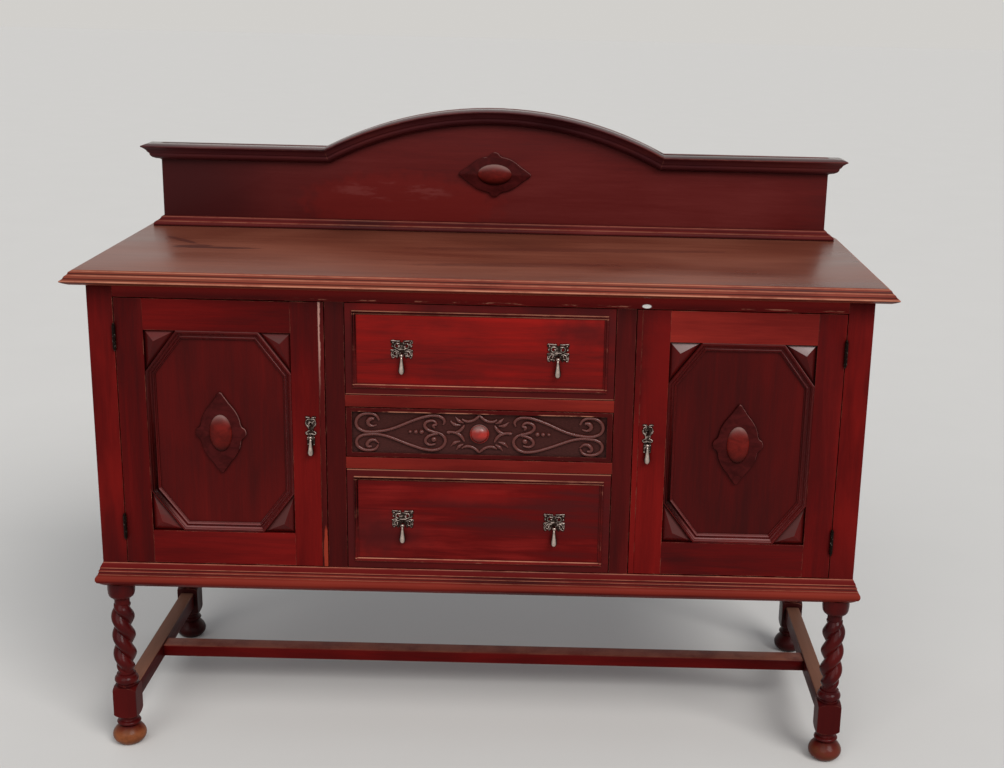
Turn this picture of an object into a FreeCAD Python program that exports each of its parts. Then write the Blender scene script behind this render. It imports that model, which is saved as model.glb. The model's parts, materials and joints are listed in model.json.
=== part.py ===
"""Sideboard on twist-turned legs: two panelled doors, three drawers, arched backboard.

Right is +X, the front faces -Y and up is +Z. The origin lies on the floor under the middle
of the whole object. Lengths are millimetres and angles are degrees.
"""

import FreeCAD
import Part
import Sketcher

import math
import os
from types import SimpleNamespace

from FreeCAD import Placement, Rotation, Vector

DOC = FreeCAD.newDocument("Sideboard")
NODES = []

# Driving sizes: alias, value, meaning
SIZE_TABLE = [
    ("carcase_width", 1450, "outside width of the carcase"),
    ("carcase_depth", 546, "front of the rails to the back of the carcase"),
    ("carcase_height", 597, "underside of the top to the bottom of the sides"),
    ("leg_length", 347, "floor to the bottom of the carcase"),
    ("top_thickness", 28, "top board"),
    ("top_overhang", 37, "how far the lip of the top stands out at the front and ends"),
    ("side_thickness", 19, "side panels and partitions"),
    ("frame_depth", 22, "front to back of the stiles and rails of the carcase front"),
    ("corner_stile_width", 47, "outer stile of the carcase front"),
    ("divider_stile_width", 36, "stile between a door and the drawers"),
    ("bank_width", 504, "opening between the divider stiles"),
    ("top_rail_height", 24, "rail under the top"),
    ("base_board_thickness", 22, "board under the carcase that takes the legs"),
    ("bottom_rail_height", 27, "rail behind the base moulding"),
    ("drawer_rail_height", 23, "rail between two drawers"),
    ("rail_tenon_length", 14, "tenon of a carcase rail"),
    ("rail_tenon_thickness", 8, "tenon of a carcase rail, front to back"),
    ("top_opening", 177, "height of the opening for the top drawer"),
    ("carved_opening", 99, "height of the opening for the carved drawer"),
    ("front_gap", 1.5, "gap round a door or a drawer front"),
    ("floor_thickness", 15, "carcase floor"),
    ("back_thickness", 6, "back panel"),
    ("rebate_width", 9, "rebate of a side panel for the back panel"),
    ("shelf_thickness", 16, "cupboard shelf"),
    ("shelf_height", 265, "carcase floor to the underside of a shelf"),
    ("shelf_setback", 60, "carcase front to the front of a shelf"),
    ("batten_width", 18, "shelf batten"),
    ("batten_height", 22, "shelf batten"),
    ("running_gap", 0.3, "clearance under and beside what slides"),
    ("runner_width", 16, "drawer runner"),
    ("door_stop_width", 40, "block that stops a door"),
    ("door_stop_depth", 18, "block that stops a door"),
    ("door_stop_height", 14, "block that stops a door"),
    ("leg_setback", 24, "axis of a leg from both faces of the carcase corner"),
    ("leg_pin_radius", 12, "pin turned on the top of a leg"),
    ("leg_pin_length", 19, "pin turned on the top of a leg"),
    ("leg_pin_clearance", 0.1, "round the pin, on the radius"),
    ("cap_radius", 26.5, "turned cap of a leg"),
    ("cap_height", 17, "straight part of the cap"),
    ("cap_cove_height", 15, "ovolo under the cap"),
    ("cap_fillet_height", 3, "square fillet under the ovolo"),
    ("neck_radius", 14.7, "neck of a leg above and below the twist"),
    ("neck_length", 13, "neck of a leg above the twist"),
    ("rope_radius", 15.6, "radius of each of the two ropes of the twist"),
    ("rope_offset", 6.9, "axis of each rope from the axis of the leg"),
    ("rope_pitch", 79, "height in which a rope goes once round"),
    ("rope_taper", 17, "height in which each end of the twist dies into its neck"),
    ("rope_seat", 1, "how far the twist runs into each neck"),
    ("foot_neck_length", 8, "neck of a leg below the twist"),
    ("ring_radius", 23, "turned rings above and below the leg's block"),
    ("ring_height", 16, "ring above the block"),
    ("ring_fillet_radius", 19.5, "square fillets beside the rings"),
    ("ring_fillet_height", 4, "square fillets beside the rings"),
    ("leg_block_width", 46, "square block of a leg"),
    ("leg_block_height", 66, "square block of a leg"),
    ("leg_block_shoulder", 6, "height of the turned shoulders of the block"),
    ("lower_ring_height", 9, "ring below the block"),
    ("lower_cove_height", 10, "cove between the block and the lower ring"),
    ("bun_radius", 36, "bun foot"),
    ("bun_height", 41, "bun foot"),
    ("bun_base_radius", 21, "flat under the bun foot"),
    ("bun_top_radius", 18, "top of the bun foot"),
    ("stretcher_width", 30, "side stretcher"),
    ("stretcher_height", 34, "side stretcher"),
    ("stretcher_drop", 12, "top of the leg's block to the top of the stretcher"),
    ("stretcher_tenon_width", 11, "tenon of a stretcher"),
    ("stretcher_tenon_height", 20, "tenon of a stretcher"),
    ("stretcher_tenon_length", 16, "tenon of a stretcher"),
    ("stretcher_easing", 2, "rounded edges of the stretchers"),
    ("long_stretcher_width", 40, "front to back of the long stretcher"),
    ("long_stretcher_height", 24, "long stretcher"),
    ("long_stretcher_setback", 234, "carcase front to the front of the long stretcher"),
    ("long_tenon_height", 14, "tenon of the long stretcher"),
    ("long_tenon_length", 12, "tenon of the long stretcher"),
    ("base_projection", 14.5, "nose of the base moulding"),
    ("top_edge_inset", 20, "edge of the flat top from the lip"),
    ("backboard_width", 1426, "backboard between its ends"),
    ("backboard_height", 175, "top board to the top of the backboard's shoulders"),
    ("backboard_thickness", 24, "backboard"),
    ("backboard_setback", 14, "back of the backboard from the back of the top"),
    ("arch_half_width", 361, "middle of the backboard to the foot of its arch"),
    ("arch_rise", 88, "shoulders to the crown of the arch"),
    ("cornice_height", 35, "cornice moulding"),
    ("cornice_projection", 35, "cornice moulding"),
    ("strip_height", 21, "moulding at the foot of the backboard"),
    ("strip_projection", 19, "moulding at the foot of the backboard"),
    ("board_cartouche_length", 154, "cartouche of the backboard, along X"),
    ("board_cartouche_width", 94, "cartouche of the backboard, upright"),
    ("board_jewel_length", 73, "jewel of the backboard, along X"),
    ("board_jewel_width", 44, "jewel of the backboard, upright"),
    ("cartouche_thickness", 6, "all cartouches"),
    ("cartouche_bevel", 3, "bevel along the edge of a cartouche"),
    ("jewel_rise", 10, "height of a jewel over its cartouche"),
    ("door_thickness", 20, "doors and drawer fronts"),
    ("hinge_stile_width", 52, "door stile beside the hinges"),
    ("closing_stile_width", 62, "door stile beside the drawers, with its strip"),
    ("door_top_rail_height", 60, "door"),
    ("door_bottom_rail_height", 66, "door"),
    ("door_tenon_length", 30, "tenon of a door rail"),
    ("door_tenon_shoulder", 8, "shoulder above and below the tenon of a door rail"),
    ("edge_strip_width", 10, "strip along the closing edge of a door"),
    ("edge_strip_rise", 1, "how far the strip stands out"),
    ("panel_thickness", 7, "door panel"),
    ("panel_setback", 9, "front of the door to the face of its panel"),
    ("panel_tongue", 7, "how far the panel enters its frame"),
    ("octagon_cut_width", 60, "corner of the octagon, along X"),
    ("octagon_cut_height", 79, "corner of the octagon, upright"),
    ("octagon_width", 17.5, "octagon moulding across its lines"),
    ("octagon_rise", 10, "octagon moulding over the panel"),
    ("pyramid_gap", 0.8, "pyramid block to its neighbours"),
    ("pyramid_edge", 3, "upright edge of a pyramid block"),
    ("pyramid_rise", 14, "peak of a pyramid block over the panel"),
    ("cartouche_length", 157, "cartouche of a door, upright"),
    ("cartouche_width", 95, "cartouche of a door"),
    ("jewel_length", 72, "jewel of a door, upright"),
    ("jewel_width", 42.5, "jewel of a door"),
    ("hinge_inset", 74, "end of the door to the middle of a hinge"),
    ("hinge_length", 45, "butt hinge"),
    ("knuckle_radius", 3.2, "hinge knuckle"),
    ("knuckle_gap", 0.3, "between hinge knuckles"),
    ("hinge_pin_radius", 1.5, "hinge pin"),
    ("hinge_pin_clearance", 0.05, "hinge pin in its knuckle, on the radius"),
    ("hinge_tip_radius", 2.3, "tip of a hinge pin"),
    ("hinge_tip_height", 4, "tip of a hinge pin"),
    ("hinge_axis_rise", 3.4, "hinge axis in front of the carcase"),
    ("leaf_thickness", 1.2, "hinge leaf"),
    ("leaf_depth", 17, "hinge leaf"),
    ("leaf_clearance", 0.3, "hinge leaf to the other leaf's knuckles"),
    ("lock_height", 42, "cupboard lock"),
    ("lock_depth", 36, "cupboard lock, from the edge of the door"),
    ("lock_thickness", 9, "cupboard lock, front to back"),
    ("bolt_height", 16, "bolt of the lock"),
    ("bolt_thickness", 4, "bolt of the lock"),
    ("bolt_length", 15, "bolt of the lock"),
    ("bolt_travel", 8, "bolt of the lock"),
    ("bolt_clearance", 0.3, "bolt in its case"),
    ("strike_clearance", 1, "bolt in its mortise in the divider stile"),
    ("plate_thickness", 1.6, "brass plates"),
    ("escutcheon_inset", 27.5, "closing edge of a door to the middle of its escutcheon"),
    ("escutcheon_width", 22, "door escutcheon"),
    ("escutcheon_height", 60, "door escutcheon"),
    ("escutcheon_lift", 12, "middle of the door up to the middle of its escutcheon"),
    ("keyhole_radius", 2.4, "round part of a keyhole"),
    ("keyhole_length", 7, "slot of a keyhole"),
    ("keyhole_slot", 2, "width of the slot of a keyhole"),
    ("drawer_plate_width", 42, "pierced plate of a drawer"),
    ("drawer_plate_height", 39, "pierced plate of a drawer"),
    ("plate_spacing", 290, "between the two plates of a drawer"),
    ("piercing_width", 4.4, "square holes of a pierced plate"),
    ("drop_length", 37, "pin to the tip of a teardrop"),
    ("drop_radius", 6.3, "fullest part of a teardrop"),
    ("drop_axis_rise", 7, "pin of a teardrop over its plate"),
    ("drop_tab_width", 3, "eye of a teardrop"),
    ("drop_tab_radius", 2.4, "eye of a teardrop"),
    ("drop_pin_radius", 0.9, "pin of a teardrop"),
    ("drop_pin_clearance", 0.06, "pin of a teardrop, on the radius"),
    ("ear_thickness", 1.4, "ears that carry the pin of a teardrop"),
    ("ear_gap", 0.4, "ear to the eye of the teardrop"),
    ("drawer_back_gap", 85, "back of a drawer to the back panel"),
    ("drawer_headroom", 12, "top of a drawer side to its opening"),
    ("drawer_side_thickness", 10, "drawer sides and back"),
    ("drawer_bottom_thickness", 5, "drawer bottom"),
    ("drawer_bottom_lift", 9, "underside of the sides to the drawer bottom"),
    ("drawer_groove", 5, "how far the drawer bottom enters the sides and front"),
    ("dovetail_depth", 13, "dovetails of a drawer side into its front"),
    ("dovetail_pitch", 33, "dovetails"),
    ("bead_inset", 13, "edge of a drawer front to its bead"),
    ("bead_width", 7.5, "bead on a drawer front"),
    ("bead_rise", 4.5, "bead on a drawer front"),
    ("field_depth", 7, "sunk ground of the carved drawer"),
    ("field_margin", 8, "edge of the carved drawer to its sunk ground, above and below"),
    ("field_end", 10.5, "end of the carved drawer to its sunk ground"),
    ("carving_rise", 5, "scrolls over their ground"),
    ("carving_width", 5, "band of a scroll"),
    ("volute_radius", 5, "eye of a scroll"),
    ("boss_radius", 18.4, "boss of the carved drawer"),
    ("boss_rise", 15, "boss over its ground"),
    ("pellet_radius", 2.1, "pellets of the carving"),
]

# Sides of a turned piece, of a round rod, of a teardrop and of a dome; points along an arc of a turning
TURNED_SIDES = 12
ROD_SIDES = 10
DROP_SIDES = 8
ARC_POINTS = 4
DOME_SIDES = 14
# Corners round a double rope and steps along it
ROPE_CORNERS = 10
ROPE_STEPS = 20

# Outlines as shares of half the length and half the width, one quarter each
CARTOUCHE_SHARES = [
    (1.0, 0.0), (0.95, 0.13), (0.76, 0.33), (0.57, 0.57),
    (0.45, 0.68), (0.25, 0.73), (0.17, 0.85), (0.0, 1.0),
]
# Radius and depth of the teardrop's outline, from its pin down, as shares of its own size
TEARDROP_SHARES = [
    (0.24, 0.0), (0.27, 0.20), (0.42, 0.30), (0.70, 0.48), (0.95, 0.64),
    (1.0, 0.74), (0.82, 0.86), (0.45, 0.96), (0.12, 1.0),
]
# Top edge, profile across the moulding: share of the inset outward, share of the thickness up
TOP_EDGE_SHARES = [
    (0.0, 1.0), (0.10, 0.94), (0.30, 0.88), (0.38, 0.74), (0.42, 0.72), (0.62, 0.62),
    (0.74, 0.46), (0.80, 0.42), (1.0, 0.357), (1.0, 0.28), (0.70, 0.16), (0.35, 0.05), (0.0, 0.0),
]
# Base moulding: share of the projection outward, share of the height up
BASE_SHARES = [
    (0.0, 1.0), (0.38, 0.80), (0.38, 0.73), (0.50, 0.70), (0.56, 0.66), (0.50, 0.61),
    (0.60, 0.58), (0.64, 0.54), (0.60, 0.50), (0.82, 0.47), (0.96, 0.40), (1.0, 0.33),
    (0.96, 0.26), (0.82, 0.18), (0.55, 0.13), (0.30, 0.06), (0.0, 0.0),
]
# Cornice: share of the projection outward, share of the height down from its top
CORNICE_SHARES = [
    (0.0, 0.0), (0.72, 0.0), (1.0, 0.10), (1.0, 0.17), (0.90, 0.22), (0.74, 0.36),
    (0.66, 0.50), (0.58, 0.56), (0.56, 0.68), (0.46, 0.80), (0.28, 0.89), (0.08, 0.94), (0.0, 1.0),
]
# Foot moulding of the backboard: share of the projection outward, share of the height up
STRIP_SHARES = [
    (0.0, 0.0), (1.0, 0.0), (1.0, 0.24), (0.92, 0.38), (0.74, 0.48), (0.52, 0.58),
    (0.36, 0.72), (0.26, 0.88), (0.0, 1.0),
]
# Octagon moulding: share of the width inward, share of the rise
OCTAGON_SHARES = [
    (0.0, 0.0), (0.0, 0.82), (0.06, 0.96), (0.16, 1.0), (0.26, 0.96), (0.32, 0.80), (0.38, 0.80),
    (0.44, 0.60), (0.56, 0.46), (0.64, 0.44), (0.70, 0.54), (0.78, 0.56), (0.86, 0.46),
    (0.90, 0.22), (1.0, 0.18), (1.0, 0.0),
]
# Dome: share of half the size, share of the rise
DOME_SHARES = [(1.0, 0.0), (0.96, 0.30), (0.80, 0.65), (0.50, 0.90), (0.16, 1.0)]
BUTTON_SHARES = [(1.0, 0.0), (0.86, 0.60), (0.40, 1.0)]
# Drawer bead: share of the width inward, share of the rise
BEAD_SHARES = [
    (0.0, 0.0), (0.0, 0.35), (0.10, 0.78), (0.30, 1.0), (0.50, 0.90), (0.62, 0.55), (0.66, 0.38),
    (1.0, 0.30), (1.0, 0.0),
]

# Right half of a drawer's plate, from the top down: shares of half its width and height
PLATE_SHARES = [
    (0.0, 0.72), (0.16, 0.78), (0.18, 1.0), (0.94, 1.0), (1.0, 0.86), (0.80, 0.70), (0.96, 0.40),
    (0.72, 0.22), (0.76, 0.02), (1.0, 0.0), (1.0, -0.16), (0.80, -0.20), (0.94, -0.46), (0.86, -0.84),
    (0.60, -0.70), (0.46, -0.96), (0.28, -0.70), (0.16, -0.36), (0.0, -0.30),
]
PLATE_HOLE_SHARES = [(0.62, 0.74), (0.34, 0.30), (0.62, -0.44)]
# Right half of a door's escutcheon, from the top down, and where its holes are
ESCUTCHEON_SHARES = [
    (0.0, 0.88), (0.24, 0.88), (0.30, 1.0), (0.92, 1.0), (1.0, 0.88), (0.62, 0.80), (0.86, 0.66),
    (0.94, 0.48), (0.80, 0.30), (0.50, 0.18), (0.46, 0.02), (0.90, -0.02), (1.0, -0.14), (0.86, -0.22),
    (0.60, -0.24), (0.72, -0.50), (0.62, -0.86), (0.34, -0.94), (0.26, -1.0), (0.0, -0.94),
]
# Height of a drop's pin in its plate and of the keyhole in its escutcheon, from the middle
PLATE_PIN_SHARE = -0.22
ESCUTCHEON_PIN_SHARE = -0.17
KEYHOLE_SHARE = 0.25
# Tenon between the lower and upper edges of its rail; dovetail at its root and its end
TENON_SHARES = (0.2, 0.8)
DOVETAIL_SHARES = (0.22, 0.36)
# Where the ovolo of a leg's cap bulges, and the neck that the twist dies into
OVOLO_SHARE = 0.7
TAPER_SHARE = 0.97
# Points along a scroll for each point of its table
SPAN_SHARE = 1.1
# Carving, left half: shares of half the width and half the height of the sunk ground
SCROLL_SHARES = [
    [
        (-0.788, 0.57), (-0.824, 0.82), (-0.881, 0.88), (-0.950, 0.72), (-0.972, 0.36),
        (-0.946, 0.11), (-0.906, 0.01), (-0.786, 0.01), (-0.708, 0.13), (-0.628, 0.31),
        (-0.566, 0.48), (-0.507, 0.61), (-0.454, 0.74), (-0.387, 0.85), (-0.312, 0.86),
        (-0.282, 0.74), (-0.271, 0.55),
    ],
    [
        (-0.794, -0.80), (-0.843, -0.90), (-0.892, -0.88), (-0.949, -0.76), (-0.971, -0.50),
        (-0.948, -0.28), (-0.898, -0.17), (-0.786, -0.12), (-0.700, -0.27), (-0.628, -0.45),
        (-0.507, -0.71), (-0.395, -0.84), (-0.312, -0.75), (-0.274, -0.49), (-0.263, -0.25),
        (-0.280, -0.08), (-0.312, 0.0), (-0.372, 0.09), (-0.420, 0.24), (-0.428, 0.45),
        (-0.387, 0.57), (-0.342, 0.50),
    ],
    [(-0.256, 0.06), (-0.222, 0.09), (-0.185, 0.05), (-0.150, -0.10), (-0.122, -0.30)],
]
EYE_SHARES = [(-0.866, 0.50), (-0.870, -0.50), (-0.357, -0.32)]
PELLET_SHARES = [(-0.545, 0.04), (-0.500, 0.04), (-0.455, 0.04)]
FRAME_SHARES = [
    (0.0, 0.92), (-0.022, 0.80), (-0.060, 0.66), (-0.122, 0.64), (-0.160, 0.33), (-0.196, 0.0),
    (-0.160, -0.33), (-0.122, -0.60), (-0.060, -0.62), (-0.022, -0.78), (0.0, -0.92),
]


class Size(float):
    """A length that carries the sheet expression that gives it."""

    def __new__(cls, value, text):
        made = super().__new__(cls, value)
        made.text = text
        return made

    def __add__(self, other):
        return Size(float(self) + float(other), f"({self.text} + {text_of(other)})")

    def __radd__(self, other):
        return Size(float(other) + float(self), f"({text_of(other)} + {self.text})")

    def __sub__(self, other):
        return Size(float(self) - float(other), f"({self.text} - {text_of(other)})")

    def __rsub__(self, other):
        return Size(float(other) - float(self), f"({text_of(other)} - {self.text})")

    def __mul__(self, other):
        return Size(float(self) * float(other), f"({self.text} * {text_of(other)})")

    def __rmul__(self, other):
        return Size(float(other) * float(self), f"({text_of(other)} * {self.text})")

    def __truediv__(self, other):
        return Size(float(self) / float(other), f"({self.text} / {text_of(other)})")

    def __neg__(self):
        return Size(-float(self), f"(-1 * {self.text})")


def text_of(value):
    return value.text if isinstance(value, Size) else repr(value)


def size_sheet():
    """Writes the driving sizes into the document's sheet and returns them by alias."""
    sheet = DOC.addObject("Spreadsheet::Sheet", "Sizes")
    for row, (alias, value, meaning) in enumerate(SIZE_TABLE, 1):
        sheet.set(f"A{row}", meaning)
        sheet.set(f"B{row}", str(value))
        sheet.setAlias(f"B{row}", alias)
    DOC.recompute()
    return SimpleNamespace(**{
        alias: Size(sheet.get(alias), f"Sizes.{alias}") for alias, value, meaning in SIZE_TABLE
    })


S = size_sheet()

# Places worked out from the sizes
FRONT = (S.top_overhang - S.carcase_depth + S.leg_setback - S.bun_radius) / 2
BACK = FRONT + S.carcase_depth
HALF = S.carcase_width / 2
BOTTOM = S.leg_length
BASE_TOP = BOTTOM + S.base_board_thickness
FLOOR = BASE_TOP + S.bottom_rail_height
TOP = BOTTOM + S.carcase_height
SURFACE = TOP + S.top_thickness
RAIL_UNDER = TOP - S.top_rail_height
FRAME_BACK = FRONT + S.frame_depth
BACK_FACE = BACK - S.back_thickness
INSIDE = HALF - S.side_thickness
STILE = HALF - S.corner_stile_width
BANK = S.bank_width / 2
DIVIDER = BANK + S.divider_stile_width
PARTITION = BANK + S.side_thickness
UPPER_RAIL = RAIL_UNDER - S.top_opening - S.drawer_rail_height
LOWER_RAIL = UPPER_RAIL - S.carved_opening - S.drawer_rail_height
BACKBOARD_FACE = BACK - S.backboard_setback - S.backboard_thickness
DOOR_NEAR = DIVIDER + S.front_gap
DOOR_FAR = STILE - S.front_gap
DOOR_LOW = FLOOR + S.front_gap
DOOR_HIGH = RAIL_UNDER - S.front_gap
DOOR_BACK = FRONT + S.door_thickness
PANEL_NEAR = DOOR_NEAR + S.closing_stile_width
PANEL_FAR = DOOR_FAR - S.hinge_stile_width
PANEL_LOW = DOOR_LOW + S.door_bottom_rail_height
PANEL_HIGH = DOOR_HIGH - S.door_top_rail_height
PANEL_FACE = FRONT + S.panel_setback
ESCUTCHEON_MIDDLE = (DOOR_LOW + DOOR_HIGH) / 2 + S.escutcheon_lift
LOCK_MIDDLE = ESCUTCHEON_MIDDLE + S.escutcheon_height * KEYHOLE_SHARE
LOCK_FRONT = FRONT + (S.door_thickness - S.lock_thickness) / 2
HINGE_X = STILE - S.front_gap / 2
HINGE_Y = FRONT - S.hinge_axis_rise
LEAF_START = HINGE_Y + S.knuckle_radius + S.leaf_clearance
DRAWER_HALF = BANK - S.front_gap
DRAWER_BACK = BACK_FACE - S.drawer_back_gap


# Document helpers

def bind(made, **sizes):
    """Binds properties to the expressions of their sizes."""
    for name, value in sizes.items():
        if isinstance(value, Size):
            made.setExpression(name.replace("_", "."), value.text)


def seat(made, x=0, y=0, z=0):
    """Puts an object at a place and binds the place."""
    made.Placement.Base = Vector(x, y, z)
    bind(made, Placement_Base_x=x, Placement_Base_y=y, Placement_Base_z=z)
    return made


def box(x, y, z):
    """Board between the low and high values of three pairs."""
    made = DOC.addObject("Part::Box", "Board")
    made.Length, made.Width, made.Height = x[1] - x[0], y[1] - y[0], z[1] - z[0]
    bind(made, Length=x[1] - x[0], Width=y[1] - y[0], Height=z[1] - z[0])
    return seat(made, x[0], y[0], z[0])


def rod(radius, length, x, y, z, along=(0, 0, 1)):
    """Many-sided rod that starts at a place and runs along +X, +Y or +Z."""
    made = DOC.addObject("Part::Prism", "Rod")
    made.Polygon = ROD_SIDES
    made.Circumradius, made.Height = radius, length
    bind(made, Circumradius=radius, Height=length)
    made.Placement.Rotation = Rotation(Vector(0, 0, 1), Vector(*along))
    return seat(made, x, y, z)


def bore(radius, length, x, y, z, along=(0, 0, 1)):
    """Hole for a rod: its flats, not its corners, lie at the radius."""
    return rod(radius * (1 / math.cos(math.pi / ROD_SIDES)), length, x, y, z, along)


def together(*pieces):
    made = DOC.addObject("Part::Compound", "Set")
    made.Links = list(pieces)
    return made


def fuse(*pieces):
    made = DOC.addObject("Part::MultiFuse", "Fuse")
    made.Shapes = list(pieces)
    return made


def cut(base, *tools):
    for tool in tools:
        made = DOC.addObject("Part::Cut", "Cut")
        made.Base = base
        made.Tool = tool
        base = made
    return base


def feature(shape, x=0, y=0, z=0):
    """Shape made with Part's functions round its own datum, then put at its place."""
    made = DOC.addObject("Part::Feature", "Shape")
    made.Shape = shape
    return seat(made, x, y, z)


def node(label, *pieces):
    """Names a sub-part; several pieces stay separate solids of one node."""
    made = pieces[0] if len(pieces) == 1 else together(*pieces)
    made.Label = label
    NODES.append(made)
    return made


def sided(side, near, far):
    """Span along X from near to far of the middle, on the side given as -1 or 1."""
    return (near, far) if side > 0 else (-far, -near)


# Sketch helpers

def body(name, x=0, y=0, z=0):
    made = DOC.addObject("PartDesign::Body", name)
    return seat(made, x, y, z)


def plane_of(owner, role):
    return next(item for item in owner.Origin.OriginFeatures if item.Role == role)


def arc_through(start, end, radius, turn):
    """Centre of the lesser arc from start to end that turns left (1) or right (-1)."""
    chord = end - start
    rise = math.sqrt(max(float(radius) ** 2 - (chord.Length / 2) ** 2, 0))
    normal = Vector(-chord.y, chord.x, 0).normalize()
    return (start + end) / 2 + normal * rise * turn


def sketch(owner, role, outline, depth=None):
    """Closed outline in an origin plane: points, or (x, y, radius, turn) for an arc to that point."""
    made = owner.newObject("Sketcher::SketchObject", "Outline")
    made.AttachmentSupport = [(plane_of(owner, role), "")]
    made.MapMode = "FlatFace"
    if depth is not None:
        made.AttachmentOffset = Placement(Vector(0, 0, depth), Rotation())
        bind(made, AttachmentOffset_Base_z=depth)
    points = [Vector(step[0], step[1], 0) for step in outline]
    places = []
    for index, step in enumerate(outline):
        start, end = points[index - 1], points[index]
        if len(step) == 4:
            radius, turn = step[2], step[3]
            centre = arc_through(start, end, radius, turn)
            first, last = (start, end) if turn > 0 else (end, start)
            angles = [math.atan2(p.y - centre.y, p.x - centre.x) for p in (first, last)]
            circle = Part.Circle(centre, Vector(0, 0, 1), float(radius))
            made.addGeometry(Part.ArcOfCircle(circle, angles[0], angles[1]), False)
            places.append((index, 2 if turn > 0 else 1, 1 if turn > 0 else 2))
        else:
            made.addGeometry(Part.LineSegment(start, end), False)
            places.append((index, 2, 1))
    for index, step in enumerate(outline):
        edge, end_spot, start_spot = places[index]
        following = places[(index + 1) % len(outline)]
        made.addConstraint(Sketcher.Constraint("Coincident", edge, end_spot, following[0], following[2]))
        for kind, value, axis in (("DistanceX", step[0], -2), ("DistanceY", step[1], -1)):
            if value == 0:
                made.addConstraint(Sketcher.Constraint("PointOnObject", edge, end_spot, axis))
                continue
            rule = made.addConstraint(
                Sketcher.Constraint(kind, -1, 1, edge, end_spot, float(value)))
            bind(made, **{f"Constraints[{rule}]": value})
        if len(step) == 4:
            rule = made.addConstraint(Sketcher.Constraint("Radius", edge, float(step[2])))
            bind(made, **{f"Constraints[{rule}]": step[2]})
    return made


def pad(owner, profile, length, reverse=False, middle=False):
    made = owner.newObject("PartDesign::Pad", "Pad")
    made.Profile = profile
    made.Length = length
    bind(made, Length=length)
    made.Reversed = reverse
    made.SideType = "Symmetric" if middle else "One side"
    return made


# Moulding helpers

def outline_face(shares, width, height, to_world):
    """Face of a profile given as shares of its width and height."""
    points = [to_world(width * across, height * up) for across, up in shares]
    return Part.Face(Part.makePolygon(points + points[:1]))


def trim(shape, point, normal):
    """Cuts away what lies beyond a plane, on the side that its normal points to."""
    face = Part.Plane(point, normal).toShape()
    return shape.cut(face.makeHalfSpace(point + normal))


def skirt(shares, width, height, half, front, back):
    """Moulding round the front and both ends, as three lengths with mitred corners."""
    reach = half + width
    across = outline_face(shares, width, height, lambda out, up: Vector(-reach, front - out, up))
    lengths = [across.extrude(Vector(2 * reach, 0, 0))]
    for side in (-1, 1):
        corner = Vector(side * half, front, 0)
        away = Vector(side, 1, 0)
        lengths[0] = trim(lengths[0], corner, away)
        along = outline_face(
            shares, width, height,
            lambda out, up: Vector(side * (half + out), front - width, up))
        run = along.extrude(Vector(0, back - front + width, 0))
        lengths.append(trim(run, corner, -away))
    return lengths


def mitred_frame(corners, shares, width, rise):
    """Moulding inside a closed outline of (x, z) corners, one mitred length to each side."""
    points = [Vector(x, 0, z) for x, z in corners]
    middle = sum(points, Vector()) / len(points)
    lengths = []
    for index, start in enumerate(points):
        end = points[(index + 1) % len(points)]
        before = (start - points[index - 1]).normalize()
        along = (end - start).normalize()
        after = (points[(index + 2) % len(points)] - end).normalize()
        inward = Vector(-along.z, 0, along.x)
        if inward.dot(middle - start) < 0:
            inward = inward * -1
        first = start - along * width
        profile = outline_face(
            shares, width, rise, lambda across, up: first + inward * across + Vector(0, -up, 0))
        run = profile.extrude(along * ((end - start).Length + 2 * width))
        run = trim(run, start, (before + along) * -1)
        lengths.append(trim(run, end, along + after))
    return lengths


def quarters(shares, half_length, half_width):
    """Whole outline from the quarter given as shares: (along, across) pairs."""
    first = [(half_length * a, half_width * b) for a, b in shares]
    second = [(-a, b) for a, b in reversed(first[:-1])]
    lower = [(a, -b) for a, b in reversed((first + second)[1:-1])]
    return first + second + lower


def skin(rings):
    """Solid through rings of as many points each, closed by a flat face at both ends."""
    faces = [Part.Face(Part.makePolygon(ring + ring[:1])) for ring in (rings[0], rings[-1])]
    for lower, upper in zip(rings, rings[1:]):
        for index in range(len(lower)):
            corners = [lower[index - 1], lower[index], upper[index], upper[index - 1]]
            faces.append(Part.Face(Part.makePolygon(corners + corners[:1])))
    return Part.makeSolid(Part.makeShell(faces))


def cartouche(length, width, upright):
    """Bevelled lozenge with a nib at each tip, its back at y = 0 and its middle at the origin."""
    def ring(depth, inset):
        shrink = 1 - 2 * inset / width
        points = [(a * shrink, b * shrink) for a, b in quarters(CARTOUCHE_SHARES, length / 2, width / 2)]
        return [Vector(b, -depth, a) if upright else Vector(a, -depth, b) for a, b in points]

    thickness, bevel = S.cartouche_thickness, S.cartouche_bevel
    return skin([ring(0, 0), ring(thickness - bevel, 0), ring(thickness, bevel)])


def dome(length, width, rise, upright=False, sides=DOME_SIDES, shares=DOME_SHARES):
    """Oval dome, its flat back at y = 0 and its middle at the origin."""
    half_x, half_z = (width / 2, length / 2) if upright else (length / 2, width / 2)
    angles = [2 * math.pi * side / sides for side in range(sides)]
    return skin([
        [Vector(half_x * across * math.cos(angle), -rise * out, half_z * across * math.sin(angle))
         for angle in angles]
        for across, out in shares
    ])


# Carcase

def top_board():
    """Board with a moulded edge at the front and both ends."""
    inner = HALF + S.top_overhang - S.top_edge_inset
    front = S.top_edge_inset - S.top_overhang
    core = Part.makeBox(2 * inner, S.carcase_depth - front, S.top_thickness, Vector(-inner, front, 0))
    lengths = skirt(
        TOP_EDGE_SHARES, S.top_edge_inset, S.top_thickness, inner, front, S.carcase_depth)
    board = core.multiFuse(lengths).removeSplitter()
    node("top_board", feature(board, 0, FRONT, TOP))


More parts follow.
